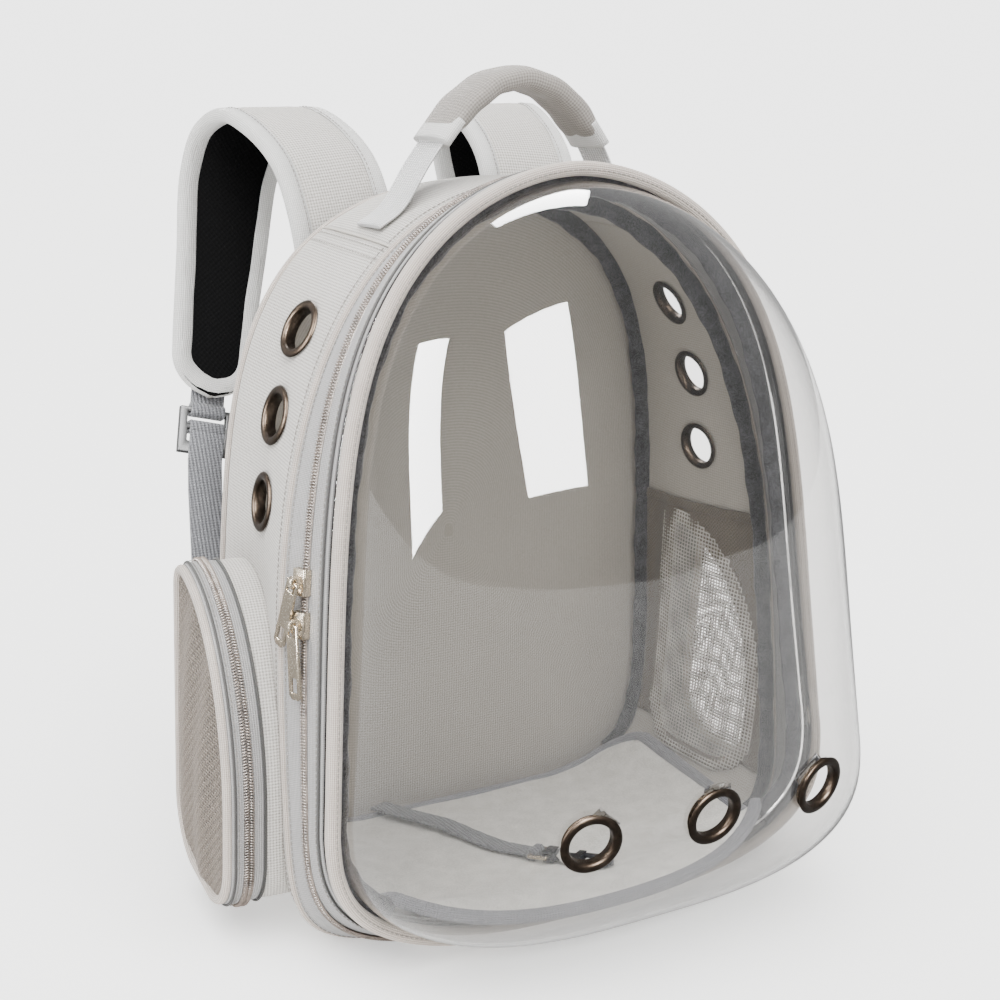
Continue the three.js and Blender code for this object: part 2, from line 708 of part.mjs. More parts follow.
const pocketRing = (section, count) => {
  const points = pocketOutline(0, count);
  const rings = points.map((p, i) => {
    const before = points[(i + points.length - 1) % points.length];
    const after = points[(i + 1) % points.length];
    const run = after.clone().sub(before).normalize();
    return section.map(({ inward, out }) => onPocket(p.x - run.y * inward, p.y + run.x * inward, out));
  });
  return loft(rings, true);
};

const bandTop = POCKET_DEPTH - POCKET_PIPING / 2 - SEAM_GAP;
const POCKET_REACH = POCKET_DEPTH * 0.86;
const pocketBand = cut(pocketRing([
  { inward: 0, out: -POCKET_REACH },
  { inward: 0, out: bandTop },
  { inward: POCKET_WALL, out: bandTop },
  { inward: POCKET_WALL, out: -POCKET_REACH },
], 21), bagEnvelope);

const PIPING_SIDES = 5;
const pocketPiping = pocketRing(Array.from({ length: PIPING_SIDES }, (_, i) => {
  const a = (Math.PI * (2 * i + 1)) / PIPING_SIDES;
  const radius = POCKET_PIPING / 2;
  return { inward: radius * (1 - Math.cos(a)), out: POCKET_DEPTH + radius * Math.sin(a) };
}), 21);

const POCKET_BULGE = 4;
const faceRows = [{ scale: 1, bulge: 0 }, { scale: 0.55, bulge: 0.85 }];
const faceStack = (lift) => {
  const edge = pocketOutline(POCKET_PIPING + SEAM_GAP * 4, 18);
  const [a, b] = [POCKET_WIDTH * 0.56, POCKET_HEIGHT * 0.44];
  return {
    loops: faceRows.map(({ scale, bulge }) => edge.map((p) => (
      onPocket(lerp(a, p.x, scale), lerp(b, p.y, scale), POCKET_DEPTH + lift + bulge * POCKET_BULGE)
    ))),
    middle: onPocket(a, b, POCKET_DEPTH + lift + POCKET_BULGE),
  };
};
const pocketFace = capSolid(faceStack(MESH_THICKNESS / 2), faceStack(-MESH_THICKNESS / 2));

// The window's mesh lies on the same stations as the side wall, so it follows the wall's inside
const windowMesh = (() => {
  const stations = Array.from({ length: SIDE_STEPS + 1 }, (_, i) => lerp(...RIGHT_SIDE, i / SIDE_STEPS));
  const [low, high] = [POCKET_FOOT - 2, POCKET_FOOT + POCKET_HEIGHT + 6];
  const kept = stations.filter((t) => foldLine.at(t).z > low && foldLine.at(t).z < high);
  const shares = gussetSwell.map((row) => row.share).filter((share) => share > 0 && share < 1);
  const depth = WALL + SEAM_GAP;
  const trim = FOLD_PIPING / 2 + SEAM_GAP;
  const grid = (inset) => kept.map((t) => shares.map((share) => skin(t, share, inset, trim)));
  return wall(grid(depth), grid(depth + MESH_THICKNESS));
})();

for (const [side, shape] of [['right', (g) => g], ['left', mirrored]]) {
  add(`pocket_band_${side}`, shape(pocketBand), 'tape');
  add(`pocket_piping_${side}`, shape(pocketPiping), 'piping');
  add(`pocket_face_${side}`, shape(pocketFace), 'mesh');
  add(`window_mesh_${side}`, shape(windowMesh), 'mesh');
}

// Zip sliders with their pulls, built as if on the right and mirrored to the left
const BRIDGE = { width: 2.4, length: 6.4, hole: 3.4, holeHeight: 2.4, roof: 1.2, foot: 1.9 };
const SLIDER_LIFT = 0.6;
const PLATE = 1.5;
const sliderBar = PLATE + BRIDGE.foot + BRIDGE.holeHeight / 2;

// A point over the coil on the same straight stretches as the coil has
function onCoil(t, share, lift) {
  const place = ((t - ZIP_RANGE[0]) / (ZIP_RANGE[1] - ZIP_RANGE[0])) * ZIP_STEPS;
  const station = (i) => bandPoint(lerp(...ZIP_RANGE, i / ZIP_STEPS), share, lift);
  return station(Math.floor(place)).lerp(station(Math.floor(place) + 1), place % 1);
}

function zipFrame(height) {
  const t = foldLine.shareAtHeight(height);
  const lift = COIL_TOP + SLIDER_LIFT;
  const seat = onCoil(t, COIL_SHARE, lift);
  const rise = onCoil(t + 0.01, COIL_SHARE, lift).sub(onCoil(t - 0.01, COIL_SHARE, lift)).normalize();
  const back = onCoil(t, COIL_SHARE - 0.1, lift).sub(seat);
  back.addScaledVector(rise, -back.dot(rise)).normalize();
  const out = new THREE.Vector3().crossVectors(back, rise).normalize();
  if (out.x < 0) out.negate();
  return { seat, rise, back, out };
}

function onFrame(geometry, origin, x, y, z) {
  return geometry.clone().applyMatrix4(new THREE.Matrix4().makeBasis(x, y, z).setPosition(origin));
}

function rectangle(x0, y0, x1, y1) {
  return [[x0, y0], [x1, y0], [x1, y1], [x0, y1]].map(([x, y]) => new THREE.Vector2(x, y));
}

function sliderProfile() {
  const [half, inner] = [SLIDER_WIDTH / 2, COIL_WIDTH / 2 + SLIDER_LIFT];
  const cheek = -COIL_TOP;
  return new THREE.Shape([
    [-half, cheek], [-inner, cheek], [-inner, 0], [inner, 0], [inner, cheek], [half, cheek],
    [half, PLATE - 0.5], [half - 0.8, PLATE], [-half + 0.8, PLATE], [-half, PLATE - 0.5],
  ].map(([x, y]) => new THREE.Vector2(x, y)));
}

function slider(height) {
  const { seat, rise, back, out } = zipFrame(height);
  const profile = sliderProfile();
  const shoe = new THREE.ExtrudeGeometry(profile, { depth: SLIDER_LENGTH, bevelEnabled: false });
  shoe.translate(0, 0, -SLIDER_LENGTH / 2);
  const { width, length, hole, holeHeight, roof, foot } = BRIDGE;
  const top = PLATE + foot + holeHeight + roof;
  const arch = new THREE.Shape([
    [-length / 2, PLATE - 0.4], [length / 2, PLATE - 0.4], [length / 2, top - 1.6],
    [length / 2 - 1.6, top], [-length / 2 + 1.6, top], [-length / 2, top - 1.6],
  ].map(([x, y]) => new THREE.Vector2(x, y)));
  arch.holes.push(new THREE.Path(rectangle(-hole / 2, PLATE + foot, hole / 2, PLATE + foot + holeHeight)));
  const bridge = new THREE.ExtrudeGeometry(arch, { depth: width, bevelEnabled: false });
  bridge.translate(0, 0, -width / 2);
  const body = onFrame(shoe, seat, back, out, new THREE.Vector3().crossVectors(back, out));
  const loop = onFrame(bridge, seat, rise, out, new THREE.Vector3().crossVectors(rise, out));
  return join(body, loop);
}

// The pull hangs from its bar in the bridge; the lean turns the bar in the plane of the tape
function pull(height, lean) {
  const { seat, rise, back, out } = zipFrame(height);
  const bar = seat.clone().addScaledVector(out, sliderBar);
  const axis = back.clone().multiplyScalar(Math.cos(rad(lean))).addScaledVector(rise, Math.sin(rad(lean)));
  const hang = up.clone().negate();
  hang.addScaledVector(axis, -hang.dot(axis)).normalize();
  const half = PULL_WIDTH / 2;
  const [barHalf, eye, eyeEnd, neck] = [0.65, 2.85, 5.5, 4.1];
  const end = PULL_LENGTH;
  const plate = new THREE.Shape([
    [-neck, barHalf], [-half, -9.5], [-half, -end + 2], [-half + 2, -end],
    [half - 2, -end], [half, -end + 2], [half, -9.5], [neck, barHalf],
  ].map(([x, y]) => new THREE.Vector2(x, y)));
  plate.holes.push(new THREE.Path(rectangle(-eye, -eyeEnd, eye, -barHalf)));
  plate.holes.push(new THREE.Path(rectangle(-2.1, -end + 3.4, 2.1, -end + 11)));
  const sheet = new THREE.ExtrudeGeometry(plate, { depth: PULL_THICKNESS, bevelEnabled: false });
  sheet.translate(0, 0, -PULL_THICKNESS / 2);
  const upright = hang.clone().negate();
  return {
    geometry: onFrame(sheet, bar, axis, upright, new THREE.Vector3().crossVectors(axis, upright)),
    bar, axis,
  };
}

const zipPulls = [
  { name: 'upper', height: SLIDER_HEIGHT, lean: PULL_LEAN },
  { name: 'lower', height: SLIDER_HEIGHT - SLIDER_SPACING, lean: 0 },
].map(({ name, height, lean }) => {
  add(`slider_${name}`, mirrored(slider(height)), 'nickel');
  const { geometry, bar, axis } = pull(height, lean);
  add(`pull_${name}`, mirrored(geometry), 'nickel');
  return { name, bar, axis };
});

// Flat bands along a path: each station has its middle, its width and the direction across it
function bandRings(stations, width, thickness, round = 0) {
  const half = thickness / 2;
  return stations.map(({ point, across, face, share = 1 }) => {
    const w = (width * share) / 2;
    const section = round > 0
      ? [[-w, -half * 0.4], [-w + round, -half], [w - round, -half], [w, -half * 0.4],
        [w, half * 0.4], [w - round, half], [-w + round, half], [-w, half * 0.4]]
      : [[-w, -half], [w, -half], [w, half], [-w, half]];
    return section.map(([a, b]) => point.clone().addScaledVector(across, a).addScaledVector(face, b));
  });
}

function stationsAlong(curve, steps, acrossHint, shareAt = () => 1) {
  return Array.from({ length: steps + 1 }, (_, i) => {
    const u = i / steps;
    const tangent = curve.getTangentAt(u);
    const hint = acrossHint(u);
    const across = hint.clone().addScaledVector(tangent, -hint.dot(tangent)).normalize();
    const face = new THREE.Vector3().crossVectors(tangent, across).normalize();
    return { point: curve.getPointAt(u), across, face, share: shareAt(u) };
  });
}

// Top handle: webbing from one shoulder of the bag to the other, with a padded grip round its middle.
// Sides are shares of half the span, rises are shares of the handle's rise over the bag.
const handleRoute = [
  { side: -0.825 },
  { side: -0.625, rise: 0.23 },
  { side: -0.35, rise: 0.71 },
  { side: -0.1, rise: 0.96 },
  { side: 0.125, rise: 1 },
  { side: 0.4, rise: 0.83 },
  { side: 0.65, rise: 0.4 },
  { side: 0.775, rise: 0.06 },
  { side: 0.8625 },
];
const topProbe = meshes.gusset_top;
function onTop(x, lift) {
  const places = [-0.5, 0, 0.5].map((side) => HANDLE_Y + side * HANDLE_WEBBING_WIDTH);
  const hits = places.map((y) => surfacePoint(topProbe, vec(x, y, DOOR_HEIGHT * 2), vec(0, 0, -1)));
  const high = hits.reduce((best, hit) => (hit.point.z > best.point.z ? hit : best));
  return vec(x, HANDLE_Y, high.point.z).addScaledVector(high.normal.setY(0).normalize(), lift);
}
const seatLift = HANDLE_WEBBING / 2 + SEAM_GAP * 3;
const handlePoints = [{ side: -0.9875 }, ...handleRoute, { side: 1.0125 }].map(({ side, rise }) => {
  const x = (side * HANDLE_SPAN) / 2;
  return rise === undefined ? onTop(x, seatLift) : vec(x, HANDLE_Y, BAG_HEIGHT + rise * HANDLE_RISE);
});
const handleCurve = new THREE.CatmullRomCurve3(handlePoints, false, 'centripetal');
const acrossY = () => vec(0, 1, 0);
const HANDLE_STEPS = 22;
const handleStations = stationsAlong(handleCurve, HANDLE_STEPS, acrossY);
add('handle_webbing', loft(bandRings(handleStations, HANDLE_WEBBING_WIDTH, HANDLE_WEBBING)), 'webbing');

const GRIP_RANGE = [0.25, 0.77];
const gripStations = handleStations.filter((_, i) => (
  i / HANDLE_STEPS >= GRIP_RANGE[0] && i / HANDLE_STEPS <= GRIP_RANGE[1]
));
const gripSolid = loft(bandRings(gripStations, GRIP_WIDTH, GRIP_THICKNESS, GRIP_THICKNESS * 0.4));
const gripCore = loft(bandRings(
  handleStations, HANDLE_WEBBING_WIDTH + SEAM_GAP * 2, HANDLE_WEBBING + SEAM_GAP * 2,
));
add('handle_grip', cut(gripSolid, gripCore), 'cloth');

// Shoulder straps, built on the right and mirrored: sewn to the back, over a crest and down behind.
// Shares of half the back's width, of its height, of the strap's reach behind it and of its width.
const strapRoute = [
  { side: 0.386, height: 0.7916, width: 1 },
  { side: 0.4, height: 0.876, width: 1 },
  { side: 0.421, height: 0.955, behind: -0.043, width: 1 },
  { side: 0.441, height: 1.024, behind: 0.097, width: 1 },
  { side: 0.469, height: 1.071, behind: 0.376, width: 1 },
  { side: 0.503, height: 1.09, behind: 0.688, width: 1 },
  { side: 0.538, height: 1.061, behind: 0.914, width: 0.99 },
  { side: 0.579, height: 0.997, behind: 1, width: 0.97 },
  { side: 0.634, height: 0.884, behind: 0.957, width: 0.92 },
  { side: 0.697, height: 0.778, behind: 0.871, width: 0.84 },
  { side: 0.738, height: 0.702, behind: 0.796, width: 0.74 },
  { side: 0.759, height: 0.673, behind: 0.753, width: 0.4 },
];
const backProbe = meshes.back_panel;
function onBack(x, z, lift, width) {
  const places = [-0.5, -0.25, 0].map((side) => x + side * width);
  const hits = places.map((place) => surfacePoint(backProbe, vec(place, BAG_DEPTH * 3, z), vec(0, -1, 0)));
  const rearmost = Math.max(...hits.map((hit) => hit.point.y));
  return vec(x, rearmost + lift, z);
}
const strapLift = STRAP_THICKNESS / 2 + SEAM_GAP * 2;
const behindBack = (side, behind, height) => (
  vec((side * BACK_WIDTH) / 2, BAG_DEPTH / 2 + behind * STRAP_REACH, height * BACK_HEIGHT)
);
const againstBack = (side, height, lift, width) => (
  onBack((side * BACK_WIDTH) / 2, height * BACK_HEIGHT, lift, width)
);
const strapPoints = strapRoute.map(({ side, behind, height }) => (
  behind === undefined ? againstBack(side, height, strapLift, STRAP_WIDTH) : behindBack(side, behind, height)
));
const strapCurve = new THREE.CatmullRomCurve3(strapPoints, false, 'centripetal');
const STRAP_STEPS = 18;
const strapWidthAt = (u) => {
  const place = strapCurve.getUtoTmapping(u) * (strapRoute.length - 1);
  const i = Math.min(Math.floor(place), strapRoute.length - 2);
  return lerp(strapRoute[i].width, strapRoute[i + 1].width, place - i);
};
const acrossX = () => vec(1, 0, 0);
const strapStations = stationsAlong(strapCurve, STRAP_STEPS, acrossX, strapWidthAt);
const strapShape = loft(bandRings(strapStations, STRAP_WIDTH, STRAP_THICKNESS, 3));

// The end of the strap carries a webbing tab, and the tab carries the buckle
const strapEnd = strapStations.at(-1);
const strapDown = strapCurve.getTangentAt(1);
const outside = strapEnd.face.y > 0 ? strapEnd.face.clone() : strapEnd.face.clone().negate();
const faceLift = STRAP_THICKNESS / 2 + SEAM_GAP;
const TAB = { tail: 26, reach: 8, bar: 3 };
const lockBar = { u: -TAB.reach, n: faceLift + WEBBING / 2 };

// Loop of webbing round a bar, with a tail unless that is 0; u runs up the strap, n away from its face
function barLoop(u, n, barLength, barDepth, tail, width) {
  const [h, v] = [barLength / 2 + SEAM_GAP, barDepth / 2 + SEAM_GAP];
  const [wide, deep] = [h + WEBBING, v + WEBBING];
  const [flat, tall] = [h + WEBBING * 0.2, v + WEBBING * 0.2];
  const tailEdge = tail > 0 ? [
    [u + wide + 1, n - WEBBING / 2], [u + tail, n - WEBBING / 2],
    [u + tail, n + WEBBING / 2], [u + wide + 1, n + WEBBING / 2],
  ] : [];
  const shape = new THREE.Shape([
    [u - flat, n - deep], [u + flat, n - deep], [u + wide, n - tall], ...tailEdge,
    [u + wide, n + tall], [u + flat, n + deep], [u - flat, n + deep], [u - wide, n + tall],
    [u - wide, n - tall],
  ].map(([x, y]) => new THREE.Vector2(x, y)));
  shape.holes.push(new THREE.Path(rectangle(u - h, n - v, u + h, n + v)));
  const loop = new THREE.ExtrudeGeometry(shape, { depth: width, bevelEnabled: false });
  return loop.translate(0, 0, -width / 2);
}

function onStrapEnd(geometry) {
  const rise = strapDown.clone().negate();
  const across = new THREE.Vector3().crossVectors(rise, outside);
  return onFrame(geometry, strapEnd.point, rise, outside, across);
}

const tabTail = TAB.tail + TAB.reach;
const strapTab = onStrapEnd(barLoop(lockBar.u, lockBar.n, TAB.bar, LOCK_THICKNESS, tabTail, WEBBING_WIDTH));

// Ladder buckle: a plate with two slots and a bar between them
const SLOT = { width: WEBBING_WIDTH + 3, length: 7 };
const lockShape = new THREE.Shape(rectangle(
  lockBar.u + TAB.bar / 2, -LOCK_WIDTH / 2, lockBar.u + TAB.bar / 2 - LOCK_LENGTH, LOCK_WIDTH / 2,
));
const firstSlot = lockBar.u - TAB.bar / 2;
const secondSlot = firstSlot - SLOT.length - TAB.bar;
for (const [start, width] of [[firstSlot, SLOT.width], [secondSlot, SLOT.width - 0.8]]) {
  lockShape.holes.push(new THREE.Path(rectangle(start - SLOT.length, -width / 2, start, width / 2)));
}
const lockPlate = new THREE.ExtrudeGeometry(lockShape, { depth: LOCK_THICKNESS, bevelEnabled: false });
lockPlate.translate(0, 0, -LOCK_THICKNESS / 2);
const ladderLock = (() => {
  const rise = strapDown.clone().negate();
  const across = new THREE.Vector3().crossVectors(outside, rise);
  const origin = strapEnd.point.clone().addScaledVector(outside, lockBar.n);
  return onFrame(lockPlate, origin, rise, across, outside);
})();

// Webbing from the buckle's middle bar down to the foot of the back
const middleBar = firstSlot - SLOT.length - TAB.bar / 2;
const webLoop = onStrapEnd(barLoop(middleBar, lockBar.n, TAB.bar, LOCK_THICKNESS, 0, WEBBING_WIDTH));
const webStart = strapEnd.point.clone()
  .addScaledVector(strapDown, -middleBar + TAB.bar / 2 + SEAM_GAP + WEBBING * 0.4)
  .addScaledVector(outside, lockBar.n - LOCK_THICKNESS / 2 - SEAM_GAP - WEBBING * 0.6);
const webCurve = new THREE.CatmullRomCurve3([
  webStart,
  webStart.clone().addScaledVector(strapDown, WEBBING_WIDTH * 0.9),
  behindBack(0.883, 0.419, 0.422),
  behindBack(0.917, 0.215, 0.251),
  againstBack(0.855, 0.127, WEBBING / 2 + SEAM_GAP * 4, WEBBING_WIDTH),
  againstBack(0.834, 0.074, WEBBING / 2 + SEAM_GAP * 2, WEBBING_WIDTH),
], false, 'centripetal');
const webStations = stationsAlong(webCurve, 13, acrossX);
const webStrip = loft(bandRings(webStations, WEBBING_WIDTH, WEBBING));

for (const [side, shape] of [['right', (g) => g], ['left', mirrored]]) {
  add(`shoulder_strap_${side}`, shape(strapShape), 'cloth');
  add(`strap_tab_${side}`, shape(toGeometry(toManifold(strapTab))), 'webbing');
  add(`ladder_lock_${side}`, shape(toGeometry(toManifold(ladderLock))), 'plastic');
  add(`strap_webbing_${side}`, shape(join(webLoop, webStrip)), 'webbing');
}

// Floor mat: lies on the base and over the foot of the door into the dome
function insetHeight(line, x, inset) {
  let [low, high] = [0, 0.32];
  for (let i = 0; i < 30; i += 1) {
    const middle = (low + high) / 2;
    const p = line.at(middle);
    if (p.x - p.nx * inset < x) low = middle;
    else high = middle;
  }
  const p = line.at(low);
  return p.z - p.nz * inset;
}

function floorUnder(x, y) {
  const rear = THREE.MathUtils.clamp((y - foldY(0)) / (backY(0) - foldY(0)), 0, 1);
  const lines = [foldLine, backLine].map((line) => insetHeight(line, Math.abs(x), BASE_THICKNESS + 1.3));
  const inside = lerp(...lines, rear) - 0.6 * (1 - smooth(Math.abs(x), BAG_WIDTH * 0.2, BAG_WIDTH * 0.35));
  const overDoor = insetHeight(doorLine, Math.abs(x), FLANGE_INSET + BUBBLE_WALL + 3.4);
  const front = doorY(overDoor);
  const nearDoor = 1 - smooth(y, front + 8, front + 30);
  const forward = Math.max(0, front - y);
  const spread = readTable(bubbleRows, 'depth', 'spread', forward / BUBBLE_DEPTH);
  const lifted = bubbleCentre - (bubbleCentre - overDoor) * spread - bubbleSag(forward);
  return lerp(inside, Math.max(lifted, inside), nearDoor) + SEAM_GAP;
}

const MAT_FRONT_Y = doorY(0) - MAT_OVERHANG;
const MAT_BACK_Y = BAG_DEPTH / 2 - 8;
function matPlan(inset, count = 30) {
  const half = MAT_HALF_WIDTH - inset;
  const shoulder = MAT_FRONT_Y + MAT_SHOULDER;
  const rearRound = MAT_CORNER - inset;
  const shape = new THREE.Shape();
  shape.moveTo(0, MAT_FRONT_Y + inset);
  shape.absellipse(0, shoulder, half, shoulder - MAT_FRONT_Y - inset, -Math.PI / 2, 0, false);
  shape.lineTo(half, MAT_BACK_Y - inset - rearRound);
  shape.absarc(half - rearRound, MAT_BACK_Y - inset - rearRound, rearRound, 0, Math.PI / 2, false);
  shape.lineTo(-half + rearRound, MAT_BACK_Y - inset);
  shape.absarc(-half + rearRound, MAT_BACK_Y - inset - rearRound, rearRound, Math.PI / 2, Math.PI, false);
  shape.lineTo(-half, shoulder);
  shape.absellipse(0, shoulder, half, shoulder - MAT_FRONT_Y - inset, Math.PI, Math.PI * 1.5, false);
  const points = shape.getSpacedPoints(count);
  points.pop();
  return points;
}

const matStack = (lift) => {
  const edge = matPlan(MAT_BINDING + SEAM_GAP);
  const at = (p, scale) => {
    const [x, y] = [p.x * scale, lerp(0, p.y, scale)];
    return vec(x, y, floorUnder(x, y) + lift);
  };
  return {
    loops: [1, 0.85, 0.5].map((scale) => edge.map((p) => at(p, scale))),
    middle: vec(0, 0, floorUnder(0, 0) + lift),
  };
};
add('floor_mat', capSolid(matStack(MAT_THICKNESS), matStack(0)), 'mat');

const matEdge = matPlan(0);
const matInner = matPlan(MAT_BINDING);
add('mat_binding', loft(matEdge.map((p, i) => {
  const q = matInner[i];
  const [low, high] = [floorUnder(p.x, p.y), floorUnder(q.x, q.y)];
  return [
    vec(p.x, p.y, low + 1.4), vec(q.x, q.y, high), vec(q.x, q.y, high + MAT_THICKNESS),
    vec(p.x, p.y, low + MAT_THICKNESS - 1.4),
  ];
}), true), 'binding');

// Safety leash: webbing from the back seam over the mat to a ring and a snap hook.
// Shares of the mat's half width, of its run from back to front and of the leash's lift.
const matTop = (x, y) => floorUnder(x, y) + MAT_THICKNESS;
const leashRoute = [
  { side: -0.364, run: 0, lift: 0.82 },
  { side: -0.31, run: 0.11, lift: 0.91 },
  { side: -0.225, run: 0.249, lift: 1 },
  { side: -0.178, run: 0.381, lift: 0.63 },
  { side: -0.124, run: 0.492, lift: 0.52 },
  { side: -0.054, run: 0.586, lift: 0.67 },
];
const leashPoints = leashRoute.map(({ side, run, lift }) => {
  const [x, y] = [side * MAT_HALF_WIDTH, lerp(MAT_BACK_Y, MAT_FRONT_Y, run)];
  return vec(x, y, matTop(x, y) + lift * LEASH_LIFT);
});
const leashCurve = new THREE.CatmullRomCurve3(leashPoints, false, 'centripetal');
const leashStations = stationsAlong(leashCurve, 12, acrossX);
const leashEnd = leashStations.at(-1);
const leashStrip = loft(bandRings(leashStations, LEASH_WIDTH, LEASH_WEBBING));

// Local frame of the ring and hook: ahead along the leash, aside across it, upwards from the mat
const leashRun = leashCurve.getTangentAt(1).multiplyScalar(HOOK_LENGTH);
const hookTip = leashEnd.point.clone().add(leashRun);
const underHook = [0.4, 0.6, 0.8, 1].map((f) => {
  const place = leashEnd.point.clone().addScaledVector(leashRun, f);
  return matTop(place.x, place.y);
});
hookTip.z = Math.max(...underHook) + HOOK_THICKNESS;
const ahead = hookTip.clone().sub(leashEnd.point).normalize();
const aside = new THREE.Vector3().crossVectors(up, ahead).normalize();
const above = new THREE.Vector3().crossVectors(ahead, aside);
const RING = { length: 11, width: 15, wire: 2, bar: 2 };
const ringStart = leashEnd.point.clone().addScaledVector(ahead, RING.bar / 2 + SEAM_GAP);
const onLeash = (geometry, shift) => (
  onFrame(geometry, ringStart.clone().addScaledVector(ahead, shift), ahead, aside, above)
);
const ringShape = new THREE.Shape(rectangle(-1, -RING.width / 2, RING.length, RING.width / 2));
ringShape.holes.push(new THREE.Path(rectangle(1, -RING.width / 2 + RING.wire, RING.length - RING.bar,
  RING.width / 2 - RING.wire)));
const ringPlate = new THREE.ExtrudeGeometry(ringShape, { depth: RING.wire, bevelEnabled: false });
ringPlate.translate(0, 0, -RING.wire / 2);
const leashEye = (() => {
  const loop = barLoop(0, 0, RING.bar, RING.wire, 0, RING.width - RING.wire * 2 - SEAM_GAP * 2);
  return onLeash(loop.rotateX(Math.PI / 2), 0);
})();
add('leash_webbing', join(leashStrip, leashEye), 'webbing');
add('leash_ring', onLeash(ringPlate, 0), 'nickel');

// Snap hook: an eye block on the ring's far bar, a shank and a C with its opening closed by the gate
const HOOK = { shank: 15, wall: 3.6, opening: [17.5, 31], gateWidth: 2.4, gateDepth: 2.2, pin: 0.8 };
const hookStart = RING.length - RING.bar / 2;
const hookHalf = HOOK_WIDTH / 2;
const bowl = { u: HOOK_LENGTH - 12, a: 12, b: hookHalf };

function ellipsePath(u, w, a, b) {
  return new THREE.Path().absellipse(u, w, a, b, 0, Math.PI * 2, false).getPoints(5).slice(0, -1);
}

const gateLine = hookHalf - 1.6;
const gatePivot = HOOK.opening[0] - 1.2;
const hookSolid = (() => {
  const make = (points, depth, holes = []) => {
    const shape = new THREE.Shape(points);
    shape.holes.push(...holes.map((hole) => new THREE.Path(hole)));
    const solid = new THREE.ExtrudeGeometry(shape, { depth, bevelEnabled: false });
    return solid.translate(0, 0, -depth / 2);
  };
  const ring = make(ellipsePath(bowl.u, 0, bowl.a, bowl.b), HOOK_THICKNESS, [
    ellipsePath(bowl.u, 0, bowl.a - HOOK.wall, bowl.b - HOOK.wall),
  ]);
  const shank = make(rectangle(2.6, -3.6, HOOK.shank + 1, 3.6), HOOK_THICKNESS);
  const shoulder = make(rectangle(HOOK.shank - 2, 0, HOOK.opening[0] + 0.6, hookHalf), HOOK_THICKNESS);
  const eyeWidth = RING.width - RING.wire * 2 - 2;
  const eyeShape = new THREE.Shape(rectangle(-3.2, -3.2, 3.4, 3.2));
  eyeShape.holes.push(new THREE.Path(rectangle(-1.5, -1.5, 1.5, 1.5)));
  const eye = new THREE.ExtrudeGeometry(eyeShape, { depth: eyeWidth, bevelEnabled: false });
  eye.translate(0, 0, -eyeWidth / 2).rotateX(Math.PI / 2);
  const opening = make(rectangle(HOOK.opening[0], 2.2, HOOK.opening[1], hookHalf + 2), HOOK_THICKNESS * 2);
  const slotDepth = HOOK.gateDepth + CLEARANCE * 2;
  const [start, end] = HOOK.opening;
  const pivotSlot = make(rectangle(gatePivot - 2.1, gateLine - 2.1, start + 1, hookHalf + 1), slotDepth);
  const noseSlot = make(rectangle(end - 1, 0, end + 1.8, hookHalf + 1.3), slotDepth);
  const pin = new THREE.CylinderGeometry(HOOK.pin, HOOK.pin, HOOK_THICKNESS - 0.4, 8).rotateX(Math.PI / 2);
  pin.translate(gatePivot, gateLine, 0);
  return join(cut(join(ring, shank, shoulder, eye), opening, pivotSlot, noseSlot), pin);
})();
const gateSolid = (() => {
  const end = HOOK.opening[1] + 1.2 - gatePivot;
  const half = HOOK.gateWidth / 2;
  const shape = new THREE.Shape([
    [0, -1.7], [1.4, -half], [end, -half], [end, half], [1.4, half],
    [0, 1.7], [-1.2, 1.2], [-1.7, 0], [-1.2, -1.2],
  ].map(([x, y]) => new THREE.Vector2(x, y)));
  shape.holes.push(new THREE.Path(ellipsePath(0, 0, HOOK.pin + CLEARANCE, HOOK.pin + CLEARANCE)));
  const bar = new THREE.ExtrudeGeometry(shape, { depth: HOOK.gateDepth, bevelEnabled: false });
  return bar.translate(gatePivot, gateLine, -HOOK.gateDepth / 2);
})();
add('leash_hook', onLeash(hookSolid, hookStart), 'hook');
add('hook_gate', onLeash(gateSolid, hookStart), 'hook');

export default bag;
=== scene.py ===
"""A soft pet carrier worn as a backpack, with a clear domed front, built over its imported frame."""

import math

import bmesh
import bpy
from mathutils import Matrix, Vector
from mathutils.bvhtree import BVHTree


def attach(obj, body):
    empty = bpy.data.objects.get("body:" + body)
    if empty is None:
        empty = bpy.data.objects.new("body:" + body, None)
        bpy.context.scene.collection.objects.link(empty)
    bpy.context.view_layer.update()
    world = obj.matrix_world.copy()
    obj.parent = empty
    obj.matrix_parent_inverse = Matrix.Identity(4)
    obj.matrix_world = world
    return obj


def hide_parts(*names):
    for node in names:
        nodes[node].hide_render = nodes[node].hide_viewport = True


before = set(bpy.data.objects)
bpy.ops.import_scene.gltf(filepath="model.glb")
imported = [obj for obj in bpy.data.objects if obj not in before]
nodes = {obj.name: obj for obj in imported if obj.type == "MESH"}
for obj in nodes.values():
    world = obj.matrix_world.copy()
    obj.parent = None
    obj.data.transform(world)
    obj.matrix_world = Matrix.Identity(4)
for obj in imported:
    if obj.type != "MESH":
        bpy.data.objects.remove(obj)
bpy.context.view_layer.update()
bpy.ops.object.select_all(action="DESELECT")

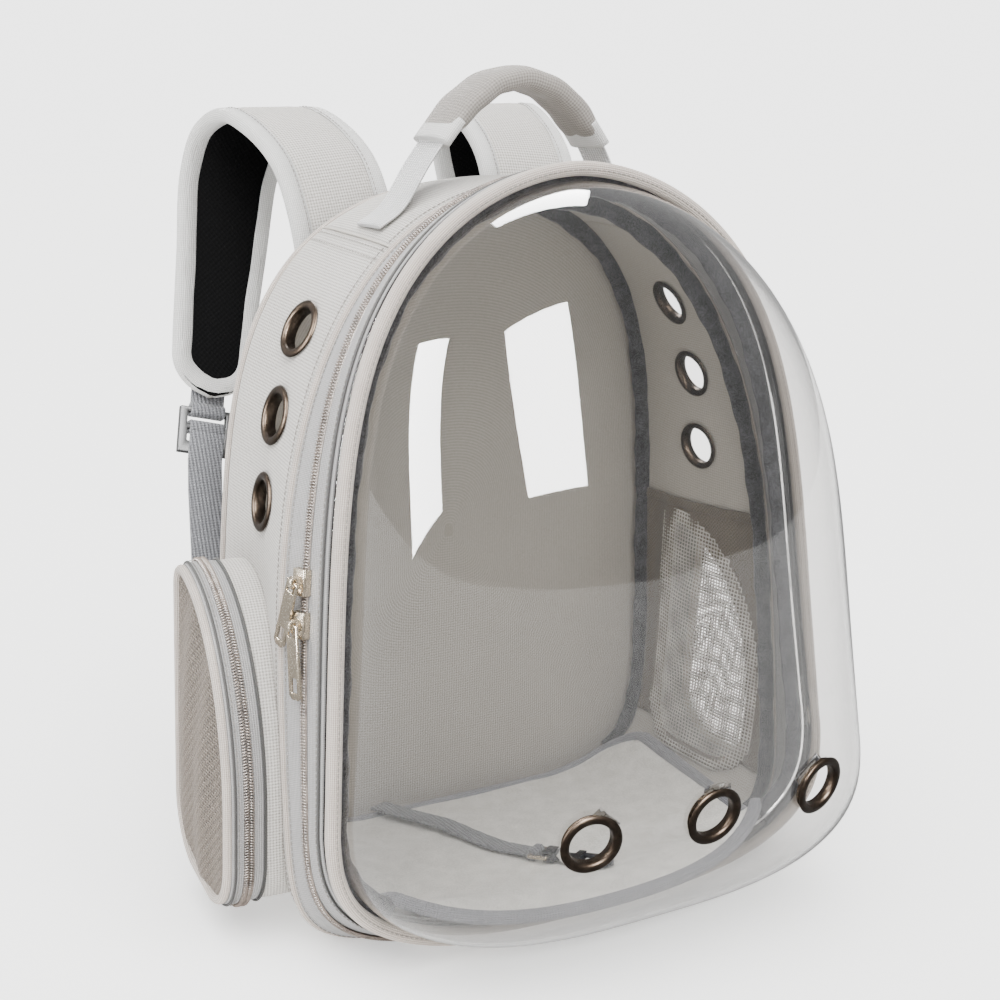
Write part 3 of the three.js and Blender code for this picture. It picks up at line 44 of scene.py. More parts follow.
# Sizes in millimetres, as the frame has them
MM = 0.001
BAG_WIDTH, BAG_HEIGHT, BAG_DEPTH = 314, 381, 166
DOOR_WIDTH, DOOR_HEIGHT = 311, 394
BACK_WIDTH, BACK_HEIGHT = 290, 379
ZIP_BAND_DEPTH = 42
LEAN = 0.06
WALL = 3
BASE_THICKNESS = 8
SEAM_GAP = 0.35
DOOR_PIPING = 7.5
FOLD_PIPING = 4.2
BUBBLE_DEPTH, BUBBLE_WALL, BUBBLE_SAG = 111, 1.5, 8
FLANGE_INSET = 9
GROMMET_WIDTH, GROMMET_HOLE, GROMMET_RIM = 31, 20, 2.2
POCKET_WIDTH, POCKET_HEIGHT, POCKET_DEPTH, POCKET_FOOT = 98, 166, 28, 14
POCKET_PIPING = 5
WINDOW_MARGIN = 14
HANDLE_WEBBING_WIDTH, HANDLE_WEBBING = 25, 2
HANDLE_Y, HANDLE_SPAN, HANDLE_RISE = 10, 160, 52
GRIP_WIDTH, GRIP_THICKNESS = 33, 13
STRAP_WIDTH, STRAP_THICKNESS, STRAP_REACH = 62, 8, 93
STRAP_BINDING = 10
MAT_HALF_WIDTH, MAT_THICKNESS, MAT_BINDING = 129, 5.5, 5
UP, RIGHT, BACKWARD = Vector((0, 0, 1)), Vector((1, 0, 0)), Vector((0, 1, 0))

# Points of the cords and tapes that run round the front
RING_STEPS = 360


def lerp(a, b, f):
    return a + (b - a) * f


def clamp(value, low=0.0, high=1.0):
    return max(low, min(high, value))


def smooth_step(value, low, high):
    f = clamp((value - low) / (high - low))
    return f * f * (3 - 2 * f)


def signed_power(value, power):
    """A power that keeps its base's sign."""
    return math.copysign(abs(value) ** power, value)


def smooth_table(rows, place):
    """A value read from rows of (place, value), rounded over at each row."""
    if place <= rows[0][0]:
        return rows[0][1]
    if place >= rows[-1][0]:
        return rows[-1][1]
    i = next(k for k in range(1, len(rows)) if rows[k][0] >= place)
    (x0, y0), (x1, y1) = rows[i - 1], rows[i]
    before = rows[max(i - 2, 0)]
    after = rows[min(i + 1, len(rows) - 1)]
    slope0 = (y1 - before[1]) / (x1 - before[0])
    slope1 = (after[1] - y0) / (after[0] - x0)
    f = (place - x0) / (x1 - x0)
    width = x1 - x0
    return (
        (2 * f**3 - 3 * f**2 + 1) * y0
        + (f**3 - 2 * f**2 + f) * width * slope0
        + (3 * f**2 - 2 * f**3) * y1
        + (f**3 - f**2) * width * slope1
    )


# The outlines of the body


def outline(width, height, foot, widest, taper, corner, crown, side):
    """The curve from the bottom middle (0) to the crown (1), with -1 to 0 on the left."""
    steps = 400
    half = width / 2
    level = height * widest
    dense = []
    for i in range(steps + 1):
        a = i / steps * math.pi / 2
        z = level - (level - foot) * max(math.cos(a), 0) ** (2 / corner)
        dense.append((half * math.sin(a) ** (2 / corner), max(z, 0)))
    for i in range(1, steps + 1):
        a = i / steps * math.pi / 2
        rise = math.sin(a) ** (2 / crown)
        reach = (half - taper * half * rise) * max(math.cos(a), 0) ** (2 / side)
        dense.append((0 if i == steps else reach, level + (height - level) * rise))
    travelled = [0]
    for (x0, z0), (x1, z1) in zip(dense, dense[1:]):
        travelled.append(travelled[-1] + math.hypot(x1 - x0, z1 - z0))

    def read(share):
        goal = clamp(share) * travelled[-1]
        low, high = 1, len(travelled) - 1
        while low < high:
            middle = (low + high) // 2
            if travelled[middle] >= goal:
                high = middle
            else:
                low = middle + 1
        run = travelled[low] - travelled[low - 1] or 1
        f = (goal - travelled[low - 1]) / run
        (x0, z0), (x1, z1) = dense[low - 1], dense[low]
        return lerp(x0, x1, f), lerp(z0, z1, f)

    def at(turn):
        """(x, z, outward x, outward z) at a share of the way round."""
        t = turn - 2 if turn > 1 else turn
        share = abs(t)
        sign = -1 if t < 0 else 1
        x, z = read(share)
        x0, z0 = read(share - 0.006)
        x1, z1 = read(share + 0.006)
        run = Vector((x1 - x0, z1 - z0))
        if share < 0.006:
            run = Vector((1, 0))
        if share > 0.994:
            run = Vector((-1, 0))
        run.normalize()
        return sign * x, z, sign * run.y, -run.x

    def search(key, value, low, high):
        for _ in range(40):
            middle = (low + high) / 2
            if read(middle)[key] < value:
                low = middle
            else:
                high = middle
        return low

    def share_at_height(z):
        return search(1, z, 0.15, 1)

    def share_at_width(x):
        return search(0, x, 0, 0.3)

    return at, share_at_height, share_at_width


door_at, _, _ = outline(DOOR_WIDTH, DOOR_HEIGHT, 0.8, 0.195, 0.156, 2.75, 5.2, 1.83)
fold_at, fold_height, fold_width = outline(
    BAG_WIDTH, BAG_HEIGHT, -1.5, 0.25, 0.037, 5.5, 2.95, 2.18
)
back_at, _, _ = outline(BACK_WIDTH, BACK_HEIGHT, -1.5, 0.27, 0.073, 3.8, 5.0, 2.2)


def door_y(z):
    return -BAG_DEPTH / 2 + LEAN * z


def fold_y(z):
    return door_y(z) + ZIP_BAND_DEPTH


def back_y(z):
    return BAG_DEPTH / 2 - LEAN * z


# How far the soft sides cave in between the zip frame and the back
SIDE_SINK = BAG_DEPTH * 0.055

# About how deep the side cloth is from the fold to the back seam
GUSSET_DEPTH = ZIP_BAND_DEPTH + 80

# Swelling of the cloth outwards: share from the fold to the back seam, and height
GUSSET_SWELL = [(0, 0), (0.14, 2), (0.45, 3.3), (0.83, 1.6), (0.95, -0.4), (1, -3)]

# Soft dents of the side: height, share of the way back, length, width, slope and depth
SIDE_DENTS = [
    (300, 0.16, 34, 9, 0.5, -1.3),
    (300, 0.58, 30, 10, 0.35, -1.1),
    (262, 0.62, 38, 12, 0.2, 0.9),
    (256, 0.12, 26, 9, 0.4, -1.0),
    (345, 0.4, 40, 8, 0.15, -0.9),
    (212, 0.45, 42, 14, 0.1, 0.7),
]


def dent(run, rise, length, width, slope):
    """The strength of a long slanting dent, from 0 to 1, at a place beside its middle."""
    along = run * math.cos(slope) + rise * math.sin(slope)
    aside = -run * math.sin(slope) + rise * math.cos(slope)
    return math.exp(-((along / length) ** 2) - (aside / width) ** 2)


def side_dent(level, share, weight):
    """How far the cloth dips where the air holes and seams pull on it."""
    total = 0
    for height, place, length, width, slope, dip in SIDE_DENTS:
        total += dip * dent((share - place) * GUSSET_DEPTH, level - height, length, width, slope)
    return total * weight


def skin(t, share, inset=0.0, trim=0.0, dents=0.0):
    """A point of the body's skin: t round the outline, share from fold to back seam."""
    ax, az, anx, anz = fold_at(t)
    bx, bz, bnx, bnz = back_at(t)
    normal = Vector((lerp(anx, bnx, share), 0, lerp(anz, bnz, share))).normalized()
    sides = 1 + min(0, normal.z)
    sink = SIDE_SINK * math.sin(math.pi * clamp(share)) * (1 - abs(normal.z))
    lift = smooth_table(GUSSET_SWELL, share) * sides - sink - inset
    x, z = lerp(ax, bx, share), lerp(az, bz, share)
    if dents:
        edge = clamp(share * 8) * clamp((1 - share) * 8)
        lift += side_dent(z, share, dents * edge)
    height = max(z + normal.z * lift, 0)
    y = lerp(fold_y(height) + trim, back_y(height), share)
    return Vector((x + normal.x * lift, y, height))


BAND_FRONT = DOOR_PIPING / 2 + BUBBLE_WALL + SEAM_GAP * 4
DOOR_INSET = 1.6


def band_point(t, share, lift):
    """A point of the zip band: share from the front fold to the door frame."""
    ax, az, anx, anz = fold_at(t)
    bx, bz, bnx, bnz = door_at(t)
    normal = Vector((lerp(anx, bnx, share), 0, lerp(anz, bnz, share))).normalized()
    x = lerp(ax, bx - bnx * DOOR_INSET, share)
    z = lerp(az, bz - bnz * DOOR_INSET, share)
    rear = fold_y(az) - FOLD_PIPING / 2 - SEAM_GAP
    y = lerp(rear, door_y(bz) + BAND_FRONT, share)
    return Vector((x + normal.x * lift, y, z + normal.z * lift))


BASE_SEAM = fold_width(BAG_WIDTH * 0.4)
TOP_SEAM = fold_height(BAG_HEIGHT * 0.925)
ZIP_START = BASE_SEAM - 0.04

# Materials


def linear(code):
    """A hex colour as the shader's linear colour."""
    channels = [(code >> shift & 255) / 255 for shift in (16, 8, 0)]
    return [c / 12.92 if c <= 0.04045 else ((c + 0.055) / 1.055) ** 2.4 for c in channels] + [1.0]


def add_node(tree, kind, inputs=None, **settings):
    """One node with its settings; inputs maps a socket to a value or to another node's output."""
    new = tree.nodes.new(kind)
    for key, value in settings.items():
        setattr(new, key, value)
    for socket, value in (inputs or {}).items():
        if isinstance(value, bpy.types.NodeSocket):
            tree.links.new(value, new.inputs[socket])
        else:
            new.inputs[socket].default_value = value
    return new


def math_node(tree, operation, first, second=0.0):
    inputs = {0: first, 1: second}
    return add_node(tree, "ShaderNodeMath", inputs, operation=operation).outputs[0]


def blank_material(name, colour, roughness, metallic=0.0):
    """A material of one colour, with its node tree and its shader."""
    material = bpy.data.materials.new(name)
    material.use_nodes = True
    material.diffuse_color = linear(colour)
    shader = material.node_tree.nodes["Principled BSDF"]
    shader.inputs["Base Color"].default_value = linear(colour)
    shader.inputs["Roughness"].default_value = roughness
    shader.inputs["Metallic"].default_value = metallic
    return material, material.node_tree, shader


def mixed(tree, factor, first, second):
    """The colour between two hex colours or sockets."""
    mix = add_node(tree, "ShaderNodeMix", data_type="RGBA")
    tree.links.new(factor, mix.inputs["Factor"])
    for socket, value in ((6, first), (7, second)):
        if isinstance(value, bpy.types.NodeSocket):
            tree.links.new(value, mix.inputs[socket])
        else:
            mix.inputs[socket].default_value = linear(value)
    return mix.outputs[2]


def thread_pattern(tree, pitch_u, pitch_v, turn=0.0):
    """Height of a plain weave from the piece's own metre-true UV map: up where warp passes over."""
    place = add_node(tree, "ShaderNodeTexCoord").outputs["UV"]
    turned = add_node(tree, "ShaderNodeMapping", {"Vector": place, "Rotation": (0, 0, turn)})
    split = add_node(tree, "ShaderNodeSeparateXYZ", {0: turned.outputs[0]})
    waves = []
    for axis, pitch in ((0, pitch_u), (1, pitch_v)):
        turns = math_node(tree, "MULTIPLY", split.outputs[axis], math.pi / (pitch * MM))
        waves.append(math_node(tree, "SINE", turns))
    return math_node(tree, "MULTIPLY", waves[0], waves[1])


def noise(tree, size, detail=2.0):
    """Noise whose blobs are about this many millimetres across."""
    place = add_node(tree, "ShaderNodeTexCoord").outputs["Object"]
    inputs = {"Vector": place, "Scale": 1 / (size * MM), "Detail": detail}
    return add_node(tree, "ShaderNodeTexNoise", inputs).outputs[0]


def remap(tree, value, low, high, to_low=0.0, to_high=1.0):
    inputs = {0: value, 1: low, 2: high, 3: to_low, 4: to_high}
    return add_node(tree, "ShaderNodeMapRange", inputs).outputs[0]


def bump(tree, shader, height, strength, distance):
    inputs = {"Height": height, "Strength": strength, "Distance": distance * MM}
    tree.links.new(add_node(tree, "ShaderNodeBump", inputs).outputs[0], shader.inputs["Normal"])


def woven(name, dark, light, pitch, depth, roughness=0.88, soil=0.12, sheen=0.12, turn=0.0, shine=0.25):
    """Cloth with crossing threads of a real pitch, two thread tones and slow changes of tone."""
    material, tree, shader = blank_material(name, light, roughness)
    shader.inputs["Sheen Weight"].default_value = sheen
    shader.inputs["Sheen Roughness"].default_value = 0.5
    shader.inputs["Specular IOR Level"].default_value = shine
    threads = thread_pattern(tree, pitch, pitch, turn)
    grain = noise(tree, 0.7)
    woven_tone = remap(tree, threads, -1, 1, 0, 0.7)
    tone = math_node(tree, "ADD", woven_tone, remap(tree, grain, 0.3, 0.7, 0, 0.3))
    cloth = mixed(tree, tone, dark, light)
    slow = remap(tree, noise(tree, 60, 3.0), 0.35, 0.7, 0, soil)
    tree.links.new(mixed(tree, slow, cloth, dark), shader.inputs["Base Color"])
    fuzz = math_node(tree, "MULTIPLY", grain, 0.4)
    height = math_node(tree, "ADD", remap(tree, threads, -1, 1, 0, 1), fuzz)
    bump(tree, shader, height, 0.55, depth)
    return material


def ribbed(name, dark, light, rib, cross, depth, sheen=0.2, across=1):
    """Webbing and binding tape: ribs along the piece, crossed by finer picks; across is the UV axis."""
    material, tree, shader = blank_material(name, light, 0.8)
    shader.inputs["Sheen Weight"].default_value = sheen
    shader.inputs["Specular IOR Level"].default_value = 0.3
    place = add_node(tree, "ShaderNodeTexCoord").outputs["UV"]
    split = add_node(tree, "ShaderNodeSeparateXYZ", {0: place})
    waves = []
    for axis, pitch in ((across, rib), (1 - across, cross)):
        turns = math_node(tree, "MULTIPLY", split.outputs[axis], 2 * math.pi / (pitch * MM))
        waves.append(math_node(tree, "SINE", turns))
    ribs, picks = waves
    height = math_node(tree, "ADD", ribs, math_node(tree, "MULTIPLY", picks, 0.5))
    tone = remap(tree, height, -1.4, 1.2, 0, 1)
    worn = remap(tree, noise(tree, 14), 0.35, 0.7, 0, 0.25)
    tree.links.new(mixed(tree, worn, mixed(tree, tone, dark, light), dark), shader.inputs["Base Color"])
    bump(tree, shader, height, 0.6, depth)
    return material


def plush(name, dark, light, pile):
    """Short brushed pile: light tips over a dark ground, no thread to be seen."""
    material, tree, shader = blank_material(name, light, 0.95)
    shader.inputs["Sheen Weight"].default_value = 0.5
    shader.inputs["Sheen Roughness"].default_value = 0.4
    shader.inputs["Specular IOR Level"].default_value = 0.1
    fibres = noise(tree, pile, 3.0)
    crushed = noise(tree, 9, 2.0)
    tips = remap(tree, fibres, 0.35, 0.65, 0, 0.6)
    tone = math_node(tree, "ADD", tips, remap(tree, crushed, 0.35, 0.7, 0, 0.4))
    tree.links.new(mixed(tree, tone, dark, light), shader.inputs["Base Color"])
    bump(tree, shader, fibres, 0.7, 0.7)
    return material


def plated(name, colour, worn, roughness, worn_share=0.25):
    """Plated metal that has rubbed thin in places, with fine scratches in its gloss."""
    material, tree, shader = blank_material(name, colour, roughness, metallic=1.0)
    patches = remap(tree, noise(tree, 5, 4.0), 0.5, 0.72, 0, worn_share)
    tree.links.new(mixed(tree, patches, colour, worn), shader.inputs["Base Color"])
    scratches = noise(tree, 0.8, 3.0)
    gloss = remap(tree, scratches, 0.3, 0.7, roughness * 0.75, roughness * 1.35)
    tree.links.new(gloss, shader.inputs["Roughness"])
    bump(tree, shader, scratches, 0.04, 0.02)
    return material


def moulded(name, dark, light, roughness):
    """Moulded plastic with the fine grain of its tool."""
    material, tree, shader = blank_material(name, light, roughness)
    grain = noise(tree, 0.5, 2.0)
    tone = remap(tree, noise(tree, 7), 0.3, 0.7)
    tree.links.new(mixed(tree, tone, dark, light), shader.inputs["Base Color"])
    bump(tree, shader, grain, 0.15, 0.12)
    return material


def clear_sheet(name):
    """Clear moulded polycarbonate: nearly invisible face on, grey and glossy where it turns away."""
    material, tree, shader = blank_material(name, 0xE9E8E7, 0.02)
    shader.inputs["Transmission Weight"].default_value = 1.0
    shader.inputs["IOR"].default_value = 1.45
    path = add_node(tree, "ShaderNodeLightPath")
    light = math_node(tree, "MAXIMUM", path.outputs["Is Shadow Ray"], path.outputs["Is Diffuse Ray"])
    passing = add_node(tree, "ShaderNodeBsdfTransparent", {"Color": linear(0xDCDCDB)})
    mix = add_node(tree, "ShaderNodeMixShader", {0: light, 1: shader.outputs[0], 2: passing.outputs[0]})
    tree.links.new(mix.outputs[0], tree.nodes["Material Output"].inputs["Surface"])
    return material


BIAS = math.pi / 4
oxford = woven("woven polyester oxford", 0x69655F, 0xD6D2CC, 1.15, 0.3, turn=BIAS)
# The grip's oxford is the body's cloth darkened all over: painted shade for the grip.
shaded_grip_cloth = woven("oxford of the grip, darkened for painted shade", 0x504B45, 0x938D86, 1.15, 0.25, turn=BIAS)
# The inside copy of the oxford has dimmer light threads: painted shade for the cloth inside the bag.
oxford_in_painted_shade = woven("inside of the oxford, toned for painted shade", 0x938D84, 0xC2BCB3, 1.1, 0.16, soil=0.15, turn=BIAS)
lining = woven("plain woven lining", 0x69645C, 0x8B857D, 0.9, 0.12)
zip_tape = ribbed("woven zip tape", 0x696867, 0x9B9998, 1.3, 1.1, 0.25)
cord_cover = ribbed("piping cover", 0x857B72, 0xC4B9AF, 1.1, 1.1, 0.25)
strap_tape = ribbed("binding tape", 0xA3A2A0, 0xD2D1CE, 1.1, 1.3, 0.2)
webbing = ribbed("polypropylene webbing", 0x3F4044, 0x77787D, 2.2, 1.4, 0.4, across=0)
pale_webbing = ribbed("pale polypropylene webbing", 0x9C9C9C, 0xDAD9D8, 2.2, 1.4, 0.4)
# Near-black strands laid along seam grooves: painted shade for the grooves.
groove = woven("near-black painted seam shade", 0x1C1B1B, 0x35332F, 0.8, 0.1)
mesh_thread = woven("knitted polyester mesh", 0x483F36, 0x82776B, 0.6, 0.1, sheen=0.1)
panel_mesh = woven("inner mesh panel", 0x3C342B, 0x72685A, 1.15, 0.4, sheen=0.2)
window_thread = woven("window mesh thread", 0xA9A39A, 0xE0DBD3, 0.6, 0.1, sheen=0.2)
air_mesh = woven("black air mesh", 0x020202, 0x0C0C0D, 1.6, 0.5, roughness=1.0, sheen=0.0, shine=0.03)
plush_mat = plush("short plush", 0xCBC8C2, 0xF2EFEA, 0.9)
mat_edge = ribbed("mat edge tape", 0x55555B, 0x85858C, 1.2, 1.6, 0.3)
velvet = plush("velour seam binding", 0x232325, 0x5C5C60, 1.0)
coil_plastic = moulded("moulded zip coil", 0x5A5049, 0x8A7E74, 0.4)
thread = woven("sewing thread", 0x6A655F, 0x8F8A84, 0.3, 0.05)
antique = plated("antique gunmetal plate", 0x2E2721, 0x5C5045, 0.36)
nickel = plated("worn nickel plate", 0xBDB2A0, 0x7C6D58, 0.22, 0.3)
black_plastic = moulded("moulded acetal", 0x0E0E0F, 0x1A1A1B, 0.55)
hook_metal = plated("dark hook plate", 0x3B3C3F, 0x6A6A6C, 0.4)
dome_clear = clear_sheet("clear polycarbonate")

# Meshes


def new_object(name, verts, faces, uvs=None, material=None, smooth=True):
    """A mesh in metres from millimetre points; uvs holds one pair for each face corner."""
    mesh = bpy.data.meshes.new(name)
    mesh.from_pydata([tuple(v * MM) for v in verts], [], faces)
    if uvs:
        layer = mesh.uv_layers.new(name="UVMap")
        layer.data.foreach_set("uv", [c * MM for pair in uvs for c in pair])
    mesh.validate()
    mesh.update()
    if smooth:
        mesh.polygons.foreach_set("use_smooth", [True] * len(mesh.polygons))
    made = bpy.data.objects.new(name, mesh)
    bpy.context.scene.collection.objects.link(made)
    if material:
        mesh.materials.append(material)
    return made


def grid_object(name, rows, material, closed_rows=False, closed_columns=False):
    """A sheet through rows of points, with a UV map in true lengths along and across it."""
    count, across = len(rows), len(rows[0])
    verts = [p for row in rows for p in row]
    middle = across // 2
    along = [0]
    for i in range(1, count + (1 if closed_rows else 0)):
        step = rows[i % count][middle] - rows[i - 1][middle]
        along.append(along[-1] + step.length)
    spans = []
    for row in rows:
        span = [0]
        for j in range(1, across + (1 if closed_columns else 0)):
            span.append(span[-1] + (row[j % across] - row[j - 1]).length)
        centre = span[-1] / 2
        spans.append([s - centre for s in span])
    faces, uvs = [], []
    for i in range(count if closed_rows else count - 1):
        k = (i + 1) % count
        for j in range(across if closed_columns else across - 1):
            m = (j + 1) % across
            faces.append((i * across + j, i * across + m, k * across + m, k * across + j))
            uvs += [
                (along[i], spans[i][j]),
                (along[i], spans[i][j + 1]),
                (along[i + 1], spans[k][j + 1]),
                (along[i + 1], spans[k][j]),
            ]
    return new_object(name, verts, faces, uvs, material)


def select_only(piece):
    bpy.ops.object.select_all(action="DESELECT")
    piece.select_set(True)
    bpy.context.view_layer.objects.active = piece


def apply_modifiers(piece):
    select_only(piece)
    for modifier in list(piece.modifiers):
        bpy.ops.object.modifier_apply(modifier=modifier.name)
    return piece


def face_outwards(piece):
    """Normals pointing out of a closed piece."""
    data = bmesh.new()
    data.from_mesh(piece.data)
    bmesh.ops.recalc_face_normals(data, faces=data.faces)
    data.to_mesh(piece.data)
    data.free()
    return piece


def close_ends(piece):
    """Fills the open rims of a piece and points its normals outwards."""
    data = bmesh.new()
    data.from_mesh(piece.data)
    bmesh.ops.holes_fill(data, edges=[e for e in data.edges if e.is_boundary], sides=0)
    data.to_mesh(piece.data)
    data.free()
    return face_outwards(piece)


def face_towards(sheet, direction, face=None):
    """Turns an open sheet over where a face of it, the middle one unless given, looks away."""
    faces = sheet.data.polygons
    index = len(faces) // 2 if face is None else face
    if faces[index].normal.dot(direction) < 0:
        sheet.data.flip_normals()


def thicken(piece, thickness, offset=-1.0):
    """Gives a sheet its real thickness, on the inner side unless offset says otherwise."""
    solid = piece.modifiers.new("thickness", "SOLIDIFY")
    solid.thickness = thickness * MM
    solid.offset = offset
    solid.use_even_offset = False
    return apply_modifiers(piece)


def paint_inside_shade(piece, material, inward):
    """Gives the faces that look into the bag a toned copy of the cloth, which paints the shade inside the
    bag; inward(centre, normal) picks them.
    """
    piece.data.materials.append(material)
    for face in piece.data.polygons:
        if inward(face.center, face.normal):
            face.material_index = 1


def mirror_copy(piece, name):
    """The left-hand copy of a right-hand piece."""
    copy = piece.copy()
    copy.data = piece.data.copy()
    copy.name = name
    bpy.context.scene.collection.objects.link(copy)
    copy.data.transform(Matrix.Scale(-1, 4, Vector((1, 0, 0))))
    copy.data.flip_normals()
    return copy


def settle(piece, body="carrier", replaces=()):
    """Puts a finished piece on its body and hides the frame parts that it replaces."""
    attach(piece, body)
    if replaces:
        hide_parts(*replaces)
    return piece


def declare_sheet(piece):
    """Works out how large the piece was cut, from its UV map, which is in true metres, and its area; neither
    result is kept.
    """
    spans = [high - low for low, high in reversed(uv_limits(piece))]
    area = sum(face.area for face in piece.data.polygons) / 2
    area = clamp(area, 0.31 * spans[0] * spans[1], spans[0] * spans[1])


def both_sides(piece, name, replaces=()):
    """Settles a right-hand piece and its mirrored copy; names in replaces take _right and _left."""
    left = mirror_copy(piece, f"{name}_left")
    piece.name = f"{name}_right"
    settle(piece, replaces=[f"{n}_right" for n in replaces])
    settle(left, replaces=[f"{n}_left" for n in replaces])
    return piece, left


def stations(points, across, closed=False):
    """Middle, across and face directions along a polyline; across is a vector or one for each."""
    count = len(points)
    made = []
    for i, point in enumerate(points):
        if closed:
            run = points[(i + 1) % count] - points[i - 1]
        else:
            run = points[min(i + 1, count - 1)] - points[max(i - 1, 0)]
        run.normalize()
        hint = across[i] if isinstance(across, list) else across
        side = (hint - run * hint.dot(run)).normalized()
        made.append((point, side, run.cross(side).normalized(), run))
    return made


def sweep(name, path, section, material, closed=False):
    """A closed section of (across, face) points drawn along stations, with rounded-over caps."""
    rows = []
    for i, (point, side, face, _) in enumerate(path):
        shape = section(i) if callable(section) else section
        rows.append([point + side * a + face * b for a, b in shape])
    if not closed:
        for index in (0, -1):
            centre = sum(rows[index], Vector()) / len(rows[index])
            ring = [centre.lerp(p, 0.02) for p in rows[index]]
            if index == 0:
                rows.insert(0, ring)
            else:
                rows.append(ring)
    piece = grid_object(name, rows, material, closed_rows=closed, closed_columns=True)
    return face_outwards(piece) if closed else close_ends(piece)


def circle_section(radius, sides, squash=1.0):
    turns = [2 * math.pi * i / sides for i in range(sides)]
    return [(radius * math.cos(a), radius * squash * math.sin(a)) for a in turns]


def flat_section(width, thickness, parts=8, round_off=None):
    """A flat band with rounded long edges."""
    edge = round_off or thickness / 2
    half = width / 2 - edge
    top = [(lerp(-half, half, i / parts), thickness / 2) for i in range(parts + 1)]
    turn = [math.pi / 2 - math.pi * i / 6 for i in range(1, 6)]
    right = [(half + edge * math.cos(a), thickness / 2 * math.sin(a)) for a in turn]
    bottom = [(x, -thickness / 2) for x, _ in reversed(top)]
    left = [(-x, y) for x, y in reversed(right)]
    return top + right + bottom + left


def catmull(points, steps):
    """Points at equal steps along a smooth curve through the given points."""
    dense = []
    ends = [points[0] * 2 - points[1], *points, points[-1] * 2 - points[-2]]
    for i in range(1, len(ends) - 2):
        p0, p1, p2, p3 = ends[i - 1 : i + 3]
        gaps = [max((b - a).length ** 0.5, 1e-6) for a, b in ((p0, p1), (p1, p2), (p2, p3))]
        t0, t1 = 0, gaps[0]
        t2 = t1 + gaps[1]
        t3 = t2 + gaps[2]
        for k in range(24):
            t = lerp(t1, t2, k / 24)
            a1 = p0 * ((t1 - t) / (t1 - t0)) + p1 * ((t - t0) / (t1 - t0))
            a2 = p1 * ((t2 - t) / (t2 - t1)) + p2 * ((t - t1) / (t2 - t1))
            a3 = p2 * ((t3 - t) / (t3 - t2)) + p3 * ((t - t2) / (t3 - t2))
            b1 = a1 * ((t2 - t) / (t2 - t0)) + a2 * ((t - t0) / (t2 - t0))
            b2 = a2 * ((t3 - t) / (t3 - t1)) + a3 * ((t - t1) / (t3 - t1))
            dense.append(b1 * ((t2 - t) / (t2 - t1)) + b2 * ((t - t1) / (t2 - t1)))
    dense.append(points[-1].copy())
    return resample(dense, steps)


def resample(dense, steps):
    travelled = [0]
    for a, b in zip(dense, dense[1:]):
        travelled.append(travelled[-1] + (b - a).length)
    made, k = [], 1
    for i in range(steps + 1):
        goal = travelled[-1] * i / steps
        while k < len(dense) - 1 and travelled[k] < goal:
            k += 1
        f = (goal - travelled[k - 1]) / (travelled[k] - travelled[k - 1] or 1)
        made.append(dense[k - 1].lerp(dense[k], f))
    return made


def scatter(name, shape, places, material):
    """One mesh with a small shape at each (point, x axis, y axis, z axis)."""
    shape_points, shape_faces = shape
    verts, faces = [], []
    for point, x, y, z in places:
        base = len(verts)
        verts += [point + x * p[0] + y * p[1] + z * p[2] for p in shape_points]
        faces += [tuple(base + i for i in f) for f in shape_faces]
    uvs = [(0, 0)] * sum(len(f) for f in faces)
    return face_outwards(new_object(name, verts, faces, uvs, material))


def bead(length, width, height):
    """A small bar with pinched ends: a stitch or a coil tooth."""
    points, faces = [], []
    for x, scale in ((-0.5, 0.35), (-0.25, 1), (0.25, 1), (0.5, 0.35)):
        for y, z in ((-0.5, 0), (0, 0.6), (0.5, 0), (0, -0.6)):
            points.append((x * length, y * width * scale, z * height * scale))
    for i in range(3):
        for j in range(4):
            k = (j + 1) % 4
            faces.append((i * 4 + j, i * 4 + k, i * 4 + 4 + k, i * 4 + 4 + j))
    faces += [(3, 2, 1, 0), (12, 13, 14, 15)]
    return points, faces


STITCH_PITCH = 3.0


def stitch_row(points, outward, pitch=STITCH_PITCH, closed=False, lift=0.25):
    """Places for stitches along a line; outward is a vector for each point."""
    if closed:
        points = points + [points[0]]
        outward = outward + [outward[0]]
    places, left = [], 0
    for i in range(len(points) - 1):
        run = points[i + 1] - points[i]
        length = run.length
        if length < 1e-6:
            continue
        run = run / length
        out = (outward[i] - run * outward[i].dot(run)).normalized()
        d = left
        while d < length:
            places.append((points[i] + run * d + out * lift, run, out.cross(run), out))
            d += pitch
        left = d - length
    return places


STITCH = bead(2.3, 0.55, 0.5)


# The body: side and top gusset, base and back


def uv_limits(piece):
    """The lowest and highest place of a piece's UV map along each of its two axes."""
    limits = []
    for axis in (0, 1):
        places = [corner.uv[axis] for corner in piece.data.uv_layers[0].data]
        limits.append((min(places), max(places)))
    return limits


def cut_with(piece, cutters):
    """Cuts holes in a piece with closed cutters, which are then removed; its UV map keeps its reach."""
    limits = uv_limits(piece)
    for cutter in cutters:
        hole = piece.modifiers.new("hole", "BOOLEAN")
        hole.operation = "DIFFERENCE"
        hole.solver = "EXACT"
        hole.object = cutter
    apply_modifiers(piece)
    for cutter in cutters:
        bpy.data.objects.remove(cutter)
    for corner in piece.data.uv_layers[0].data:
        corner.uv = [clamp(place, *limit) for place, limit in zip(corner.uv, limits)]
    return piece


def round_cutter(centre, normal, radius):
    """A cylinder through the cloth at an air hole."""
    turn = normal.to_track_quat("Z", "Y").to_euler()
    bpy.ops.mesh.primitive_cylinder_add(
        vertices=48, radius=radius * MM, depth=40 * MM, location=centre * MM, rotation=turn
    )
    cutter = bpy.context.object
    bpy.ops.object.transform_apply(location=True, rotation=True, scale=True)
    return cutter


